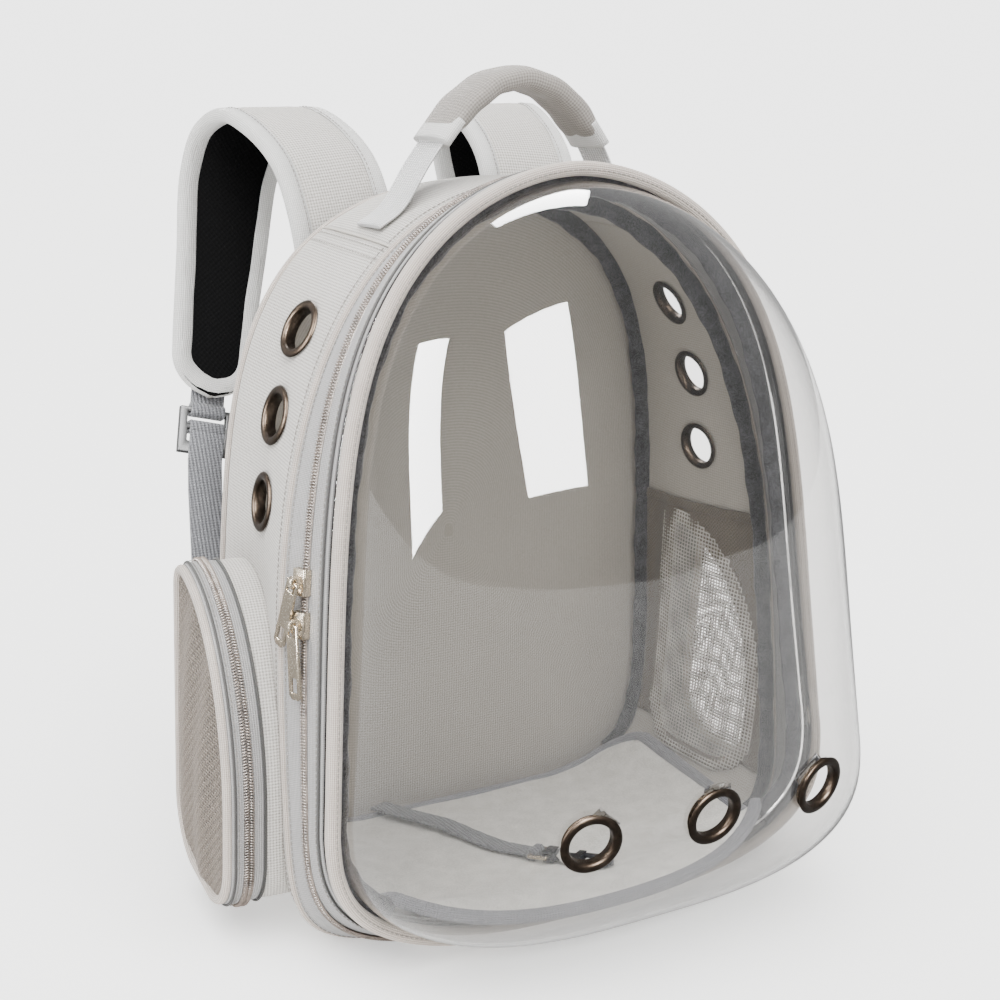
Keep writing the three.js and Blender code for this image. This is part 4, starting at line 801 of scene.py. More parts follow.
def pocket_axes():
    level = POCKET_FOOT + POCKET_HEIGHT * 0.45
    t = fold_height(level)
    front, rear = skin(t, 0.02), skin(t, 0.85)
    along = (rear - front).normalized()
    high = skin(fold_height(level + POCKET_HEIGHT * 0.3), 0.5)
    low = skin(fold_height(level - POCKET_HEIGHT * 0.3), 0.5)
    rise = (high - low).normalized()
    out = along.cross(rise).normalized()
    if out.x < 0:
        out.negate()
    rise = out.cross(along).normalized()
    if rise.z < 0:
        rise.negate()
    corner = front + rise * (POCKET_FOOT - front.z)
    return corner, along, rise, out


POCKET = pocket_axes()


def on_pocket(a, b, n):
    corner, along, rise, out = POCKET
    return corner + along * a + rise * b + out * n


POCKET_FOOT_ROUND, POCKET_SWEEP_HEIGHT, POCKET_REAR_ROUND = 34, 104, 14


def pocket_outline(inset, count):
    """Points round the pocket: straight behind, swept over at the top of the front."""
    left, right = inset, POCKET_WIDTH - inset
    foot, top = inset, POCKET_HEIGHT - inset
    turn = POCKET_FOOT_ROUND - inset
    rear = POCKET_REAR_ROUND - min(inset, POCKET_REAR_ROUND - 2)
    shoulder = top - POCKET_SWEEP_HEIGHT
    sweep_width = right - rear - left
    arcs = [
        (right - turn, foot + turn, turn, turn, -math.pi / 2, 0),
        (right - rear, top - rear, rear, rear, 0, math.pi / 2),
        (right - rear, shoulder, sweep_width, POCKET_SWEEP_HEIGHT, math.pi / 2, math.pi),
        (left + turn, foot + turn, turn, turn, math.pi, math.pi * 1.5),
    ]
    dense = [Vector((left + turn, foot, 0))]
    for x, y, a, b, start, end in arcs:
        for i in range(25):
            angle = lerp(start, end, i / 24)
            dense.append(Vector((x + a * math.cos(angle), y + b * math.sin(angle), 0)))
    return resample(dense, count)[:-1]


def window_cutter():
    edge = pocket_outline(WINDOW_MARGIN, 90)
    rings = [[on_pocket(p.x, p.y, n) for p in edge] for n in (-40, 40)]
    cutter = grid_object("window_cutter", rings, None, closed_columns=True)
    return close_ends(cutter)


def gusset_sheet(name, start, end, steps, material, dents, parts=26):
    """The body's skin between two places of its outline, from the fold to the back seam."""
    trim = FOLD_PIPING / 2 + SEAM_GAP
    rows = []
    for i in range(steps + 1):
        t = lerp(start, end, i / steps)
        rows.append([skin(t, j / parts, 0, trim, dents) for j in range(parts + 1)])
    return grid_object(name, rows, material)


def bvh_of(piece):
    return BVHTree.FromObject(piece, bpy.context.evaluated_depsgraph_get())


def hit(tree, start, direction):
    """Where a line from a point meets a mesh, and the direction that it faces, in millimetres."""
    place, normal, _, _ = tree.ray_cast(start * MM, direction.normalized())
    if place is None:
        return None, None
    if normal.dot(direction) > 0:
        normal.negate()
    return place / MM, normal.normalized()


side_sheet = gusset_sheet("side", BASE_SEAM, TOP_SEAM, 110, oxford, 1.0)
face_outwards(side_sheet)
side_tree = bvh_of(side_sheet)

SIDE_HOLES = [(0.8085, 0.43), (0.697, 0.42), (0.5785, 0.45)]
side_seats = []
for height, share in SIDE_HOLES:
    target = skin(fold_height(height * BAG_HEIGHT), share)
    start = target + Vector((GROMMET_WIDTH * 2.6, 0, GROMMET_WIDTH * 0.8))
    place, normal = hit(side_tree, start, target - start)
    side_seats.append((place - normal * (WALL / 2), normal))

face_towards(side_sheet, RIGHT, 0)
thicken(side_sheet, WALL)
cut_with(
    side_sheet,
    [round_cutter(c, n, GROMMET_HOLE / 2 + 1.7) for c, n in side_seats] + [window_cutter()],
)
paint_inside_shade(side_sheet, oxford_in_painted_shade, lambda centre, normal: normal.x < -0.3)
for piece in both_sides(side_sheet, "side_cloth", ["gusset"]):
    declare_sheet(piece)

top_sheet = gusset_sheet("top_cloth", TOP_SEAM, 2 - TOP_SEAM, 60, oxford, 0.0)
face_towards(top_sheet, UP)
thicken(top_sheet, WALL)
paint_inside_shade(top_sheet, oxford_in_painted_shade, lambda centre, normal: normal.z < -0.3)
settle(top_sheet, replaces=["gusset_top"])
declare_sheet(top_sheet)

base_sheet = gusset_sheet("base_board", -BASE_SEAM, BASE_SEAM, 40, lining, 0.0)
face_towards(base_sheet, -UP)
thicken(base_sheet, BASE_THICKNESS)
settle(base_sheet, replaces=["base_panel"])


# Rings of the padded back: sizes of the flat inner ones, then size and height of the outer ones
PAD_INNER = (0.02, 0.25, 0.5, 0.75, 0.9, 0.97, 1)
PAD_OUTER = [
    (1.0, 2.4), (0.992, 3.2), (0.975, 4.4), (0.94, 5.8), (0.86, 7.0), (0.7, 7.7),
    (0.5, 8), (0.25, 8), (0.02, 8),
]
PAD_RING = 120
PAD_INSET = 3
PAD_MIDDLE = BACK_HEIGHT * 0.47


def back_ring(scale, behind):
    """One ring of the padded back, drawn in towards its middle."""
    ring = []
    for i in range(PAD_RING):
        x, z, nx, nz = back_at(-1 + 2 * i / PAD_RING)
        z = max(z - nz * PAD_INSET * max(0, nz), 0)
        x = (x - nx * PAD_INSET) * scale
        height = PAD_MIDDLE + (z - PAD_MIDDLE) * scale
        ring.append(Vector((x, back_y(height) + behind, height)))
    return ring


def back_pad():
    """The padded back: flat inside, swelling behind, pulled in at its seam."""
    rows = [back_ring(scale, SEAM_GAP) for scale in PAD_INNER]
    rows += [back_ring(scale, SEAM_GAP + lift) for scale, lift in PAD_OUTER]
    pad = grid_object("back_pad", rows, oxford, closed_columns=True)
    return close_ends(pad)


back = settle(back_pad(), replaces=["back_panel"])
paint_inside_shade(back, oxford_in_painted_shade, lambda centre, normal: normal.y < -0.5)
back_tree = bvh_of(back)


def ring_path(at, y_at, inset, count, lowest=0.0):
    """Closed stations along an outline; across points outwards."""
    points, outward = [], []
    for i in range(count):
        x, z, nx, nz = at(-1 + 2 * i / count)
        points.append(Vector((x - nx * inset, y_at(z), max(z - nz * inset, lowest))))
        outward.append(Vector((nx, 0, nz)))
    return points, outward


# Piping and bindings that run round the body

BACK_CORD_RADIUS = 2.0
points, outward = ring_path(back_at, lambda z: back_y(z) + 0.6, 2.4, 300, BACK_CORD_RADIUS)
back_cord = sweep(
    "back_seam_cord", stations(points, outward, True), circle_section(BACK_CORD_RADIUS, 10), cord_cover, True
)
settle(back_cord)

points, outward = ring_path(fold_at, fold_y, FOLD_PIPING * 0.2, RING_STEPS, FOLD_PIPING / 2)
fold_cord = sweep(
    "fold_cord", stations(points, outward, True), circle_section(FOLD_PIPING / 2, 12), cord_cover, True
)
settle(fold_cord, replaces=["fold_piping"])


def frame_section(radius):
    """The door frame's cord: a flat-faced band with rounded edges."""
    turns = [2 * math.pi * i / 16 for i in range(16)]
    return [(radius * signed_power(math.cos(a), 0.8), radius * signed_power(math.sin(a), 0.8)) for a in turns]


points, outward = ring_path(door_at, door_y, DOOR_PIPING / 2, RING_STEPS, DOOR_PIPING / 2)
door_cord = sweep(
    "door_cord", stations(points, outward, True), frame_section(DOOR_PIPING / 2), cord_cover, True
)
settle(door_cord, replaces=["door_piping"])

points, outward = ring_path(
    door_at, lambda z: door_y(z) - DOOR_PIPING / 2, DOOR_PIPING * 0.55, RING_STEPS, DOOR_PIPING / 2
)
places = stitch_row(points, [-BACKWARD] * RING_STEPS, closed=True, lift=0.15)
settle(scatter("door_stitches", STITCH, places, thread))


VELVET_WIDTH = 11
VELVET_STEPS = 340


def velvet_strip(name, at, y_at, inset, seed):
    """A folded strip of velour over a seam allowance, from one end of the base round to the other."""
    points, outward = [], []
    for i in range(VELVET_STEPS + 1):
        x, z, nx, nz = at(lerp(BASE_SEAM, 2 - BASE_SEAM, i / VELVET_STEPS))
        points.append(Vector((x - nx * inset, y_at(z), z - nz * inset)))
        outward.append(Vector((nx, 0, nz)))
    path = stations(points, outward)

    def section(i):
        wave = 1 + 0.09 * math.sin(i * 0.31 + seed) + 0.06 * math.sin(i * 0.83 + seed * 2)
        return circle_section(VELVET_WIDTH / 2 * wave, 12, 0.42)

    return settle(sweep(name, path, section, velvet))


velvet_strip("door_binding", door_at, lambda z: door_y(z) + 9.5, 12, 1)
velvet_strip("fold_binding", fold_at, lambda z: fold_y(z) - 1, 7.5, 2)
velvet_strip("back_binding", back_at, lambda z: back_y(z) - 5, 8, 3)

# The zip band round the front


def zip_t(f):
    return lerp(ZIP_START, 2 - ZIP_START, f)


TAPE_THICKNESS, HINGE_THICKNESS = 1.3, 2.1
TAPE_PARTS = 44

# The band's relief across its depth: share from the fold, and height of the cloth there
TAPE_RELIEF = [
    (0, -0.5), (0.05, 0.2), (0.12, -0.1), (0.2, 0.1), (0.4, 0.15), (0.45, 0.35), (0.48, -0.2),
    (0.56, -0.2), (0.59, 0.35), (0.64, 0.15), (0.8, 0.1), (0.86, 0.35), (0.9, -0.6), (0.94, 0.4), (1, 0.3),
]
relief = [(j / TAPE_PARTS, smooth_table(TAPE_RELIEF, j / TAPE_PARTS)) for j in range(TAPE_PARTS + 1)]
rows = []
for i in range(RING_STEPS + 1):
    t = zip_t(i / RING_STEPS)
    rows.append([band_point(t, share, lift) for share, lift in relief])
band = grid_object("zip_tapes", rows, zip_tape)
face_towards(band, UP)
thicken(band, TAPE_THICKNESS)
settle(band, replaces=["zip_band"])

rows = []
for i in range(81):
    t = lerp(-ZIP_START, ZIP_START, i / 80)
    rows.append([band_point(t, j / 24, 0) for j in range(25)])
hinge = grid_object("hinge_cloth", rows, oxford)
face_towards(hinge, -UP)
thicken(hinge, HINGE_THICKNESS)
settle(hinge, replaces=["door_hinge_strip"])
declare_sheet(hinge)

# A near-black strip in the groove by the door cord paints the groove's shade.
GROOVE_SHARE = 0.885
spots = [band_point(zip_t(i / RING_STEPS), GROOVE_SHARE, 0.5) for i in range(RING_STEPS + 1)]
groove_shade_line = sweep("groove_shade_line", stations(spots, BACKWARD), flat_section(1.9, 1.0, 2), groove)
settle(groove_shade_line)

COIL_SHARE = 0.52
COIL_PITCH = 1.5
TOOTH = bead(2.9, 1.05, 1.9)


def coil_places(centres, outward, closed=False):
    """Two facing rows of coil turns along a line."""
    places = []
    for point, run, side, out in stitch_row(centres, outward, COIL_PITCH, closed, 0):
        for turn in (-1, 1):
            centre = point + side * (turn * 1.35) + run * (COIL_PITCH * 0.25 * turn)
            tilt = (side + run * 0.25 * turn).normalized()
            places.append((centre + out * 0.5, tilt, out.cross(tilt), out))
    return places


centres, outs = [], []
for i in range(501):
    t = zip_t(i / 500)
    here = band_point(t, COIL_SHARE, 0.6)
    centres.append(here)
    outs.append((band_point(t, COIL_SHARE, 3) - here).normalized())
coil = scatter("zip_coils", TOOTH, coil_places(centres, outs), coil_plastic)
settle(coil, replaces=["zip_coil"])
bed_line = [c - o * 0.2 for c, o in zip(centres, outs)][::3]
coil_bed = sweep("zip_coil_cords", stations(bed_line, BACKWARD), flat_section(5.6, 0.9, 4), coil_plastic)
settle(coil_bed)

# Stitches of the body


def band_stitches(share, lift):
    """A row round the zip band, at a share of its depth."""
    spots, outs = [], []
    for i in range(401):
        t = zip_t(i / 400)
        here = band_point(t, share, lift)
        spots.append(here)
        outs.append((band_point(t, share, lift + 2) - here).normalized())
    return stitch_row(spots, outs)


def seam_stitches(t, offset):
    """A row across the gusset beside a seam, offset in shares of the outline."""
    spots, outs = [], []
    for j in range(31):
        share = lerp(0.04, 0.97, j / 30)
        spots.append(skin(t + offset, share, -0.2))
        outs.append((skin(t + offset, share, -3) - spots[-1]).normalized())
    return stitch_row(spots, outs)


def edge_stitches(share):
    """A row on the gusset along the fold, from one end of the base round to the other."""
    lift = 0.25
    spots, outs = [], []
    for i in range(241):
        t = lerp(BASE_SEAM, 2 - BASE_SEAM, i / 240)
        here = skin(t, share, -lift, FOLD_PIPING / 2)
        spots.append(here)
        outs.append((skin(t, share, -3 - lift, FOLD_PIPING / 2) - here).normalized())
    return stitch_row(spots, outs)


stitches = band_stitches(0.08, 0.2) + band_stitches(0.83, 0.35) + edge_stitches(0.04)
for offset in (-0.016, -0.006):
    stitches += seam_stitches(TOP_SEAM, offset)
    stitches += seam_stitches(2 - TOP_SEAM, -offset)
settle(scatter("body_stitches", STITCH, stitches, thread))


def seam_line(name, t):
    """A fine tuck where two cloths meet, in the toned inside cloth that paints shade."""
    points = [skin(t, j / 40, -0.1) for j in range(41)]
    return settle(sweep(name, stations(points, UP), circle_section(0.7, 8), oxford_in_painted_shade))


seam_line("top_seam_right", TOP_SEAM)
seam_line("top_seam_left", 2 - TOP_SEAM)

# The clear dome

BUBBLE_CENTRE = DOOR_HEIGHT * 0.447
FLANGE_Y = DOOR_PIPING / 2 + SEAM_GAP * 2
DOME_POWER = 2.3
DOME_RING = 200
BUBBLE_HOLE_SPACING, BUBBLE_HOLE_HEIGHT = 68, 92


def bubble_sag(forward):
    return BUBBLE_SAG * max(forward, 0) / BUBBLE_DEPTH


def bubble_point(t, spread, forward, inset):
    x, z, _, _ = door_at(t)
    reach = math.hypot(x, z - BUBBLE_CENTRE)
    scale = (1 - inset / reach) * spread
    height = BUBBLE_CENTRE + (z - BUBBLE_CENTRE) * scale - bubble_sag(forward)
    return Vector((x * scale, door_y(height) - forward, height))


def dome_rows(inset, depth, flange):
    turns = [-1 + 2 * i / DOME_RING for i in range(DOME_RING)]
    rows = [[bubble_point(t, 1, -flange, DOOR_INSET) for t in turns]]
    rows.append([bubble_point(t, 1, -flange, lerp(DOOR_INSET, inset, 0.6)) for t in turns])
    for i in range(33):
        a = i / 32 * math.pi / 2 * 0.985
        share, spread = math.sin(a) ** (2 / DOME_POWER), math.cos(a) ** (2 / DOME_POWER)
        forward = lerp(-flange, depth, share)
        rows.append([bubble_point(t, spread, forward, inset) for t in turns])
    return rows


def clear_dome():
    outer = dome_rows(FLANGE_INSET, BUBBLE_DEPTH, FLANGE_Y)
    inner = dome_rows(FLANGE_INSET + BUBBLE_WALL, BUBBLE_DEPTH - BUBBLE_WALL, FLANGE_Y + BUBBLE_WALL)
    rows = list(reversed(inner)) + outer
    dome = grid_object("clear_dome", rows, dome_clear, closed_columns=True)
    return close_ends(dome)


dome = clear_dome()
dome_tree = bvh_of(dome)
bubble_seats = []
for side in (-1, 0, 1):
    start = Vector((side * BUBBLE_HOLE_SPACING, -BAG_DEPTH - BUBBLE_DEPTH, BUBBLE_HOLE_HEIGHT))
    place, normal = hit(dome_tree, start, BACKWARD)
    bubble_seats.append((place - normal * (BUBBLE_WALL / 2), normal))
cut_with(dome, [round_cutter(c, n, GROMMET_HOLE / 2 + 1.6) for c, n in bubble_seats])
settle(dome, replaces=["bubble"])

# Grommets


def grommet(name, centre, normal, grip):
    """A rolled washer pair: the front rim curls over the hole, the back washer lies flat."""
    hole, rim, barrel = GROMMET_HOLE / 2 + 0.9, GROMMET_WIDTH / 2, GROMMET_HOLE / 2 + 1.5
    top, foot, high = grip / 2, -grip / 2, GROMMET_RIM * 0.72
    profile = [
        (hole, foot - 0.8), (barrel + 2.2, foot - 0.85), (barrel + 2.4, foot - 0.4),
        (barrel + 2.2, foot - 0.05), (barrel, foot), (barrel, top),
        (rim - 0.5, top), (rim, top + 0.3), (rim - 0.1, top + 0.65),
        (rim - 0.7, top + high * 0.8), (rim - 1.5, top + high * 0.97), (hole + 1.6, top + high),
        (hole + 0.7, top + high * 0.8), (hole + 0.2, top + high * 0.45), (hole, top),
    ]
    x = normal.orthogonal().normalized()
    y = normal.cross(x).normalized()
    count = 56
    rows = []
    for i in range(count):
        a = 2 * math.pi * i / count
        out = x * math.cos(a) + y * math.sin(a)
        rows.append([centre + out * r + normal * h for r, h in profile])
    return face_outwards(grid_object(name, rows, antique, True, True))


for i, (centre, normal) in enumerate(bubble_seats, 1):
    ring = grommet(f"dome_ring_{i}", centre, normal, BUBBLE_WALL + 1.6)
    settle(ring, replaces=[f"bubble_grommet_{i}"])
for i, (centre, normal) in enumerate(side_seats, 1):
    ring = grommet(f"side_ring_{i}", centre, normal, WALL + 1.4)
    left = mirror_copy(ring, f"side_ring_{i}_left")
    ring.name = f"side_ring_{i}_right"
    settle(ring, replaces=[f"grommet_right_{i}"])
    settle(left, replaces=[f"grommet_left_{i}"])

# Side pockets


def pocket_path(count, out):
    """Stations round the pocket at a height over its seat, across pointing out of the pocket."""
    edge = pocket_outline(0, count)
    points, outward = [], []
    for i, p in enumerate(edge):
        run = (edge[(i + 1) % len(edge)] - edge[i - 1]).normalized()
        normal = Vector((run.y, -run.x, 0))
        points.append(on_pocket(p.x, p.y, out))
        outward.append((on_pocket(p.x + normal.x, p.y + normal.y, out) - points[-1]).normalized())
    return points, outward


def seat_depth(point, out):
    """How far below a pocket point the side cloth lies."""
    place, _ = hit(side_tree, point + out * 20, -out)
    return 40 if place is None else (point + out * 20 - place).length - 20


POCKET_STEPS = 220


def pocket_wall(name, material, low, high, bulge, thickness, to_skin=False):
    """A strip standing round the pocket between two heights, or from the side cloth up."""
    parts = 8
    points, outward = pocket_path(POCKET_STEPS, 0)
    out = POCKET[3]
    rows = []
    for point, side in zip(points, outward):
        foot = low
        if to_skin:
            foot = -min(seat_depth(point, out), 23) - 0.4
        row = []
        for j in range(parts + 1):
            f = j / parts
            swell = bulge * math.sin(math.pi * f)
            row.append(point + out * lerp(foot, high, f) + side * swell)
        rows.append(row)
    wall = grid_object(name, rows, material, closed_rows=True)
    face_towards(wall, outward[0], 0)
    return thicken(wall, thickness)


COIL_LEVEL = POCKET_DEPTH * 0.56
TUCK_LEVEL = COIL_LEVEL - 6.5
wall = pocket_wall("pocket_cloth", oxford, 0, TUCK_LEVEL, 0.3, 1.6, to_skin=True)
both_sides(wall, "pocket_cloth", ["pocket_band"])
tape = pocket_wall("pocket_tape", zip_tape, COIL_LEVEL - 6.4, POCKET_DEPTH - 1.6, 1.0, 1.4)
both_sides(tape, "pocket_tape", ())

points, outward = pocket_path(260, COIL_LEVEL + 2.2)
lifted = [p + o * 1.25 for p, o in zip(points, outward)]
turns = scatter("pocket_coil", TOOTH, coil_places(lifted, outward, closed=True), coil_plastic)
both_sides(turns, "pocket_coil", ())

points, outward = pocket_path(POCKET_STEPS, POCKET_DEPTH)
inward = [p - o * (POCKET_PIPING / 2) for p, o in zip(points, outward)]
cord = sweep(
    "pocket_cord", stations(inward, outward, True), circle_section(POCKET_PIPING / 2, 12), cord_cover, True
)
both_sides(cord, "pocket_cord", ["pocket_piping"])

# Near-black lines at the pocket's groove under its cord and at its tuck paint the shade of these creases.
for name, level in (("pocket_groove", POCKET_DEPTH - 3.4), ("pocket_tuck", TUCK_LEVEL)):
    points, outward = pocket_path(POCKET_STEPS, level)
    spots = [p + o * 0.9 for p, o in zip(points, outward)]
    line = sweep(name, stations(spots, outward, True), circle_section(0.75, 8), groove, True)
    both_sides(line, name, ())

points, outward = pocket_path(POCKET_STEPS, POCKET_DEPTH - 5.2)
spots = [p + o * 1.1 for p, o in zip(points, outward)]
places = stitch_row(spots, outward, closed=True, lift=0.3)
both_sides(scatter("pocket_stitches", STITCH, places, thread), "pocket_stitches", ())


def inside(points, x, y):
    """Whether a flat point lies within a closed outline."""
    result = False
    for a, b in zip(points, points[1:] + points[:1]):
        if (a.y > y) != (b.y > y) and x < a.x + (y - a.y) * (b.x - a.x) / (b.y - a.y):
            result = not result
    return result


def net(name, place, edge, pitch, strand, material):
    """Crossing strands through place(a, b, lift), kept inside the edge outline; a real open net."""
    columns, lines = int(POCKET_WIDTH / pitch), int(POCKET_HEIGHT / pitch)
    kept = [[inside(edge, i * pitch, j * pitch) for j in range(lines + 1)] for i in range(columns + 1)]
    verts, faces, uvs = [], [], []

    def strand_through(run, along_a):
        if len(run) < 2:
            return
        start = len(verts)
        for i, j in run:
            lift = 0.22 if (i + j) % 2 == (0 if along_a else 1) else -0.22
            a, b = i * pitch, j * pitch
            for da, dn in ((-1, 0), (0, 1), (1, 0), (0, -1)):
                shift = strand / 2 * da
                spot = (a, b + shift) if along_a else (a + shift, b)
                verts.append(place(spot[0], spot[1], lift + dn * strand * 0.35))
        end = len(verts) - 4
        faces.extend([(start + 3, start + 2, start + 1, start), (end, end + 1, end + 2, end + 3)])
        for i, j in (run[0], run[-1]):
            uvs.extend([(i * pitch, j * pitch)] * 4)
        for n, (i, j) in enumerate(run[1:], 1):
            base = start + n * 4
            for k in range(4):
                m = (k + 1) % 4
                faces.append((base - 4 + k, base - 4 + m, base + m, base + k))
                uvs.extend([(i * pitch, j * pitch)] * 4)

    def lay(cells, along_a):
        run = []
        for i, j in cells:
            if kept[i][j]:
                run.append((i, j))
                continue
            strand_through(run, along_a)
            run = []
        strand_through(run, along_a)

    for j in range(lines + 1):
        lay([(i, j) for i in range(columns + 1)], True)
    for i in range(columns + 1):
        lay([(i, j) for j in range(lines + 1)], False)
    return face_outwards(new_object(name, verts, faces, uvs, material))


def face_place(a, b, lift):
    """The pocket's mesh face: bulging a little, with slack ripples."""
    u, v = (a / POCKET_WIDTH - 0.52) * 2, (b / POCKET_HEIGHT - 0.46) * 2
    bulge = 4.5 * max(0, 1 - u * u) * max(0, 1 - v * v)
    ripple = 0.9 * math.sin(a * 0.16 + b * 0.03) * max(0, 1 - u * u)
    return on_pocket(a, b, POCKET_DEPTH - 0.6 + bulge + ripple + lift)


net_edge = pocket_outline(2.2, 120)
pocket_net = net("pocket_net", face_place, net_edge, 2.0, 0.95, mesh_thread)
both_sides(pocket_net, "pocket_net", ["pocket_face"])

# Folds of the slack mesh: place across and up, slope, length, width and depth
WINDOW_FOLDS = [(52, 88, -0.95, 46, 6, 4.5), (30, 60, -1.2, 30, 5, -3), (70, 120, -0.7, 34, 6, -2.5)]


def window_place(a, b, lift):
    """The slack mesh behind the window, in from the side cloth, with its diagonal folds."""
    start = on_pocket(a, b, 40)
    place, normal = hit(side_tree, start, -POCKET[3])
    if place is None:
        place, normal = on_pocket(a, b, -2), POCKET[3]
    slack = 0
    for ca, cb, slope, length, width, dip in WINDOW_FOLDS:
        slack += dip * dent(a - ca, b - cb, length, width, slope)
    u, v = a / POCKET_WIDTH * 2 - 1, b / POCKET_HEIGHT * 2 - 1
    loose = max(0, 1 - u * u) * max(0, 1 - v * v)
    return place - normal * (WALL + 1.2 + (slack + 2.5) * loose) + normal * lift


window_edge = pocket_outline(WINDOW_MARGIN - 9, 120)
window_net = net("window_net", window_place, window_edge, 2.3, 0.85, window_thread)
both_sides(window_net, "window_net", ["window_mesh"])

PANEL_TOP = 186


def inner_panel():
    """The mesh lining low on the side, with the window cut in it."""
    start, end = fold_height(30), fold_height(PANEL_TOP)
    rows = []
    for i in range(61):
        t = lerp(start, end, i / 60)
        droop = -9 * i / 60
        row = []
        for j in range(31):
            f = lerp(0.03, 0.95, j / 30)
            spot = skin(t, f, WALL + 1.0 + 0.5 * math.sin(j * 0.9 + i * 0.12), 0)
            row.append(spot + Vector((0, 0, droop * f)))
        rows.append(row)
    panel = grid_object("inner_panel", rows, panel_mesh)
    thicken(panel, 0.5, 0)
    return cut_with(panel, [window_cutter()]), rows[-1]


panel, panel_top = inner_panel()
for piece, side in zip(both_sides(panel, "inner_panel", ()), ("right", "left")):
    declare_sheet(piece)
hem = sweep("inner_panel_hem", stations(panel_top, UP), flat_section(6, 1.6, 3), panel_mesh)
both_sides(hem, "inner_panel_hem", ())

rim = pocket_outline(WINDOW_MARGIN - 4, 160)
rim_points = [window_place(p.x, p.y, 1.0) for p in rim]
window_middle = on_pocket(45, 70, 0)
rim_path = stations(rim_points, [on_pocket(p.x, p.y, 0) - window_middle for p in rim], True)
tape = sweep("window_binding", rim_path, flat_section(9, 1.2, 4), mesh_thread, True)
both_sides(tape, "window_binding", ())

# Handle

HANDLE_STEPS = 110

# Places along the handle: shares of half its span and of its rise, None where it lies on the top
HANDLE_ROUTE = [
    (-0.9875, None), (-0.825, None), (-0.625, 0.23), (-0.35, 0.71), (-0.1, 0.96), (0.125, 1), (0.4, 0.83),
    (0.65, 0.4), (0.775, 0.06), (0.8625, None), (1.0125, None),
]
top_tree = bvh_of(top_sheet)


def handle_curve(steps):
    """The handle's middle line, flat on the top at its ends and arched between them."""
    points = []
    for side, rise in HANDLE_ROUTE:
        x = side * HANDLE_SPAN / 2
        if rise is None:
            seats = [hit(top_tree, Vector((x, HANDLE_Y + s * 12, 800)), -UP) for s in (-1, 0, 1)]
            place, normal = max(seats, key=lambda seat: seat[0].z)
            out = Vector((normal.x, 0, normal.z)).normalized()
            points.append(Vector((x, HANDLE_Y, place.z)) + out * 1.9)
        else:
            points.append(Vector((x, HANDLE_Y, BAG_HEIGHT + rise * HANDLE_RISE)))
    return catmull(points, steps)


handle_path = stations(handle_curve(HANDLE_STEPS), BACKWARD)
band_shape = flat_section(HANDLE_WEBBING_WIDTH, HANDLE_WEBBING, 10)
strip = sweep("handle_webbing_strip", handle_path, band_shape, pale_webbing)
settle(strip, replaces=["handle_webbing"])

GRIP_START, GRIP_END = 0.25, 0.77
first, last = round(GRIP_START * HANDLE_STEPS), round(GRIP_END * HANDLE_STEPS)
grip_path = handle_path[first : last + 1]


def grip_section(i):
    """The grip seen end on: plump in its middle, flatter at its ends, creased under the hand."""
    f = i / (len(grip_path) - 1)
    end = min(f, 1 - f)
    plump = lerp(0.62, 1, smooth_step(end, 0, 0.16))
    half, thick = GRIP_WIDTH / 2, GRIP_THICKNESS / 2 * plump
    made = []
    for k in range(32):
        a = 2 * math.pi * k / 32
        c, s = math.cos(a), math.sin(a)
        lift = thick * signed_power(s, 0.75)
        crease = 0.9 * math.exp(-((c * half) ** 2) / 6) if s < 0 else 0
        made.append((half * signed_power(c, 0.8), lift + crease + 0.25 * math.sin(i * 0.7)))
    return made


grip = sweep("handle_grip_pad", grip_path, grip_section, shaded_grip_cloth)
settle(grip, replaces=["handle_grip"])


def grip_band(name, place):
    """The turned-over end of the grip's cover."""
    path = handle_path[place : place + 8]
    shape = [(a * 1.02, b * 0.66 * 1.1) for a, b in grip_section(len(grip_path) // 2)]
    return settle(sweep(name, path, shape, strap_tape))


grip_band("grip_band_left", first - 1)
grip_band("grip_band_right", last - 6)

# Shoulder straps

STRAP_STEPS = 140

# Places along a strap: shares of half the back's width, of its height and of the strap's reach
# behind it, None where the strap lies on the back
STRAP_ROUTE = [
    (0.386, 0.7916, None), (0.4, 0.876, None), (0.421, 0.955, -0.043), (0.441, 1.024, 0.097),
    (0.469, 1.071, 0.376), (0.503, 1.09, 0.688), (0.538, 1.061, 0.914), (0.579, 0.997, 1),
    (0.634, 0.884, 0.957), (0.697, 0.778, 0.871), (0.738, 0.702, 0.796), (0.759, 0.673, 0.753),
]


def on_back(x, z, lift, width):
    """A point over the padded back, clear of it across the strap's inner half."""
    starts = [Vector((x + share * width, BAG_DEPTH * 3, z)) for share in (-0.5, -0.25, 0)]
    seats = [hit(back_tree, start, -BACKWARD) for start in starts]
    return Vector((x, max(place.y for place, _ in seats if place is not None) + lift, z))


def strap_point(side, height, behind):
    x, z = side * BACK_WIDTH / 2, height * BACK_HEIGHT
    if behind is None:
        return on_back(x, z, STRAP_THICKNESS / 2 + SEAM_GAP * 2, STRAP_WIDTH)
    return Vector((x, BAG_DEPTH / 2 + behind * STRAP_REACH, z))


strap_points = catmull([strap_point(*row) for row in STRAP_ROUTE], STRAP_STEPS)
strap_path = stations(strap_points, RIGHT)
outside = 1 if strap_path[-1][2].y > 0 else -1


def strap_share(i):
    """The strap's width at a station, full along it and round at its end."""
    f = i / (len(strap_path) - 1)
    taper = lerp(1, 0.8, smooth_step(f, 0.5, 0.95))
    end = clamp((1 - f) / 0.075)
    return taper * math.sqrt(max(1 - (1 - end) ** 2, 0.02))


def strap_layer(name, low, high, shrink, material, crown=0.0):
    """One layer of the strap between two heights over its middle; low is towards the body."""

    def section(i):
        half = STRAP_WIDTH / 2 * strap_share(i) - shrink
        made = []
        for start, level in ((-half, high + crown), (half, low)):
            for k in range(13):
                x = lerp(start, -start, k / 12)
                edge = 1 - abs(x / half) ** 6 if half > 0 else 0
                made.append((x, outside * lerp(lerp(low, high, 0.35), level, edge)))
        return made

    return sweep(name, strap_path, section, material)


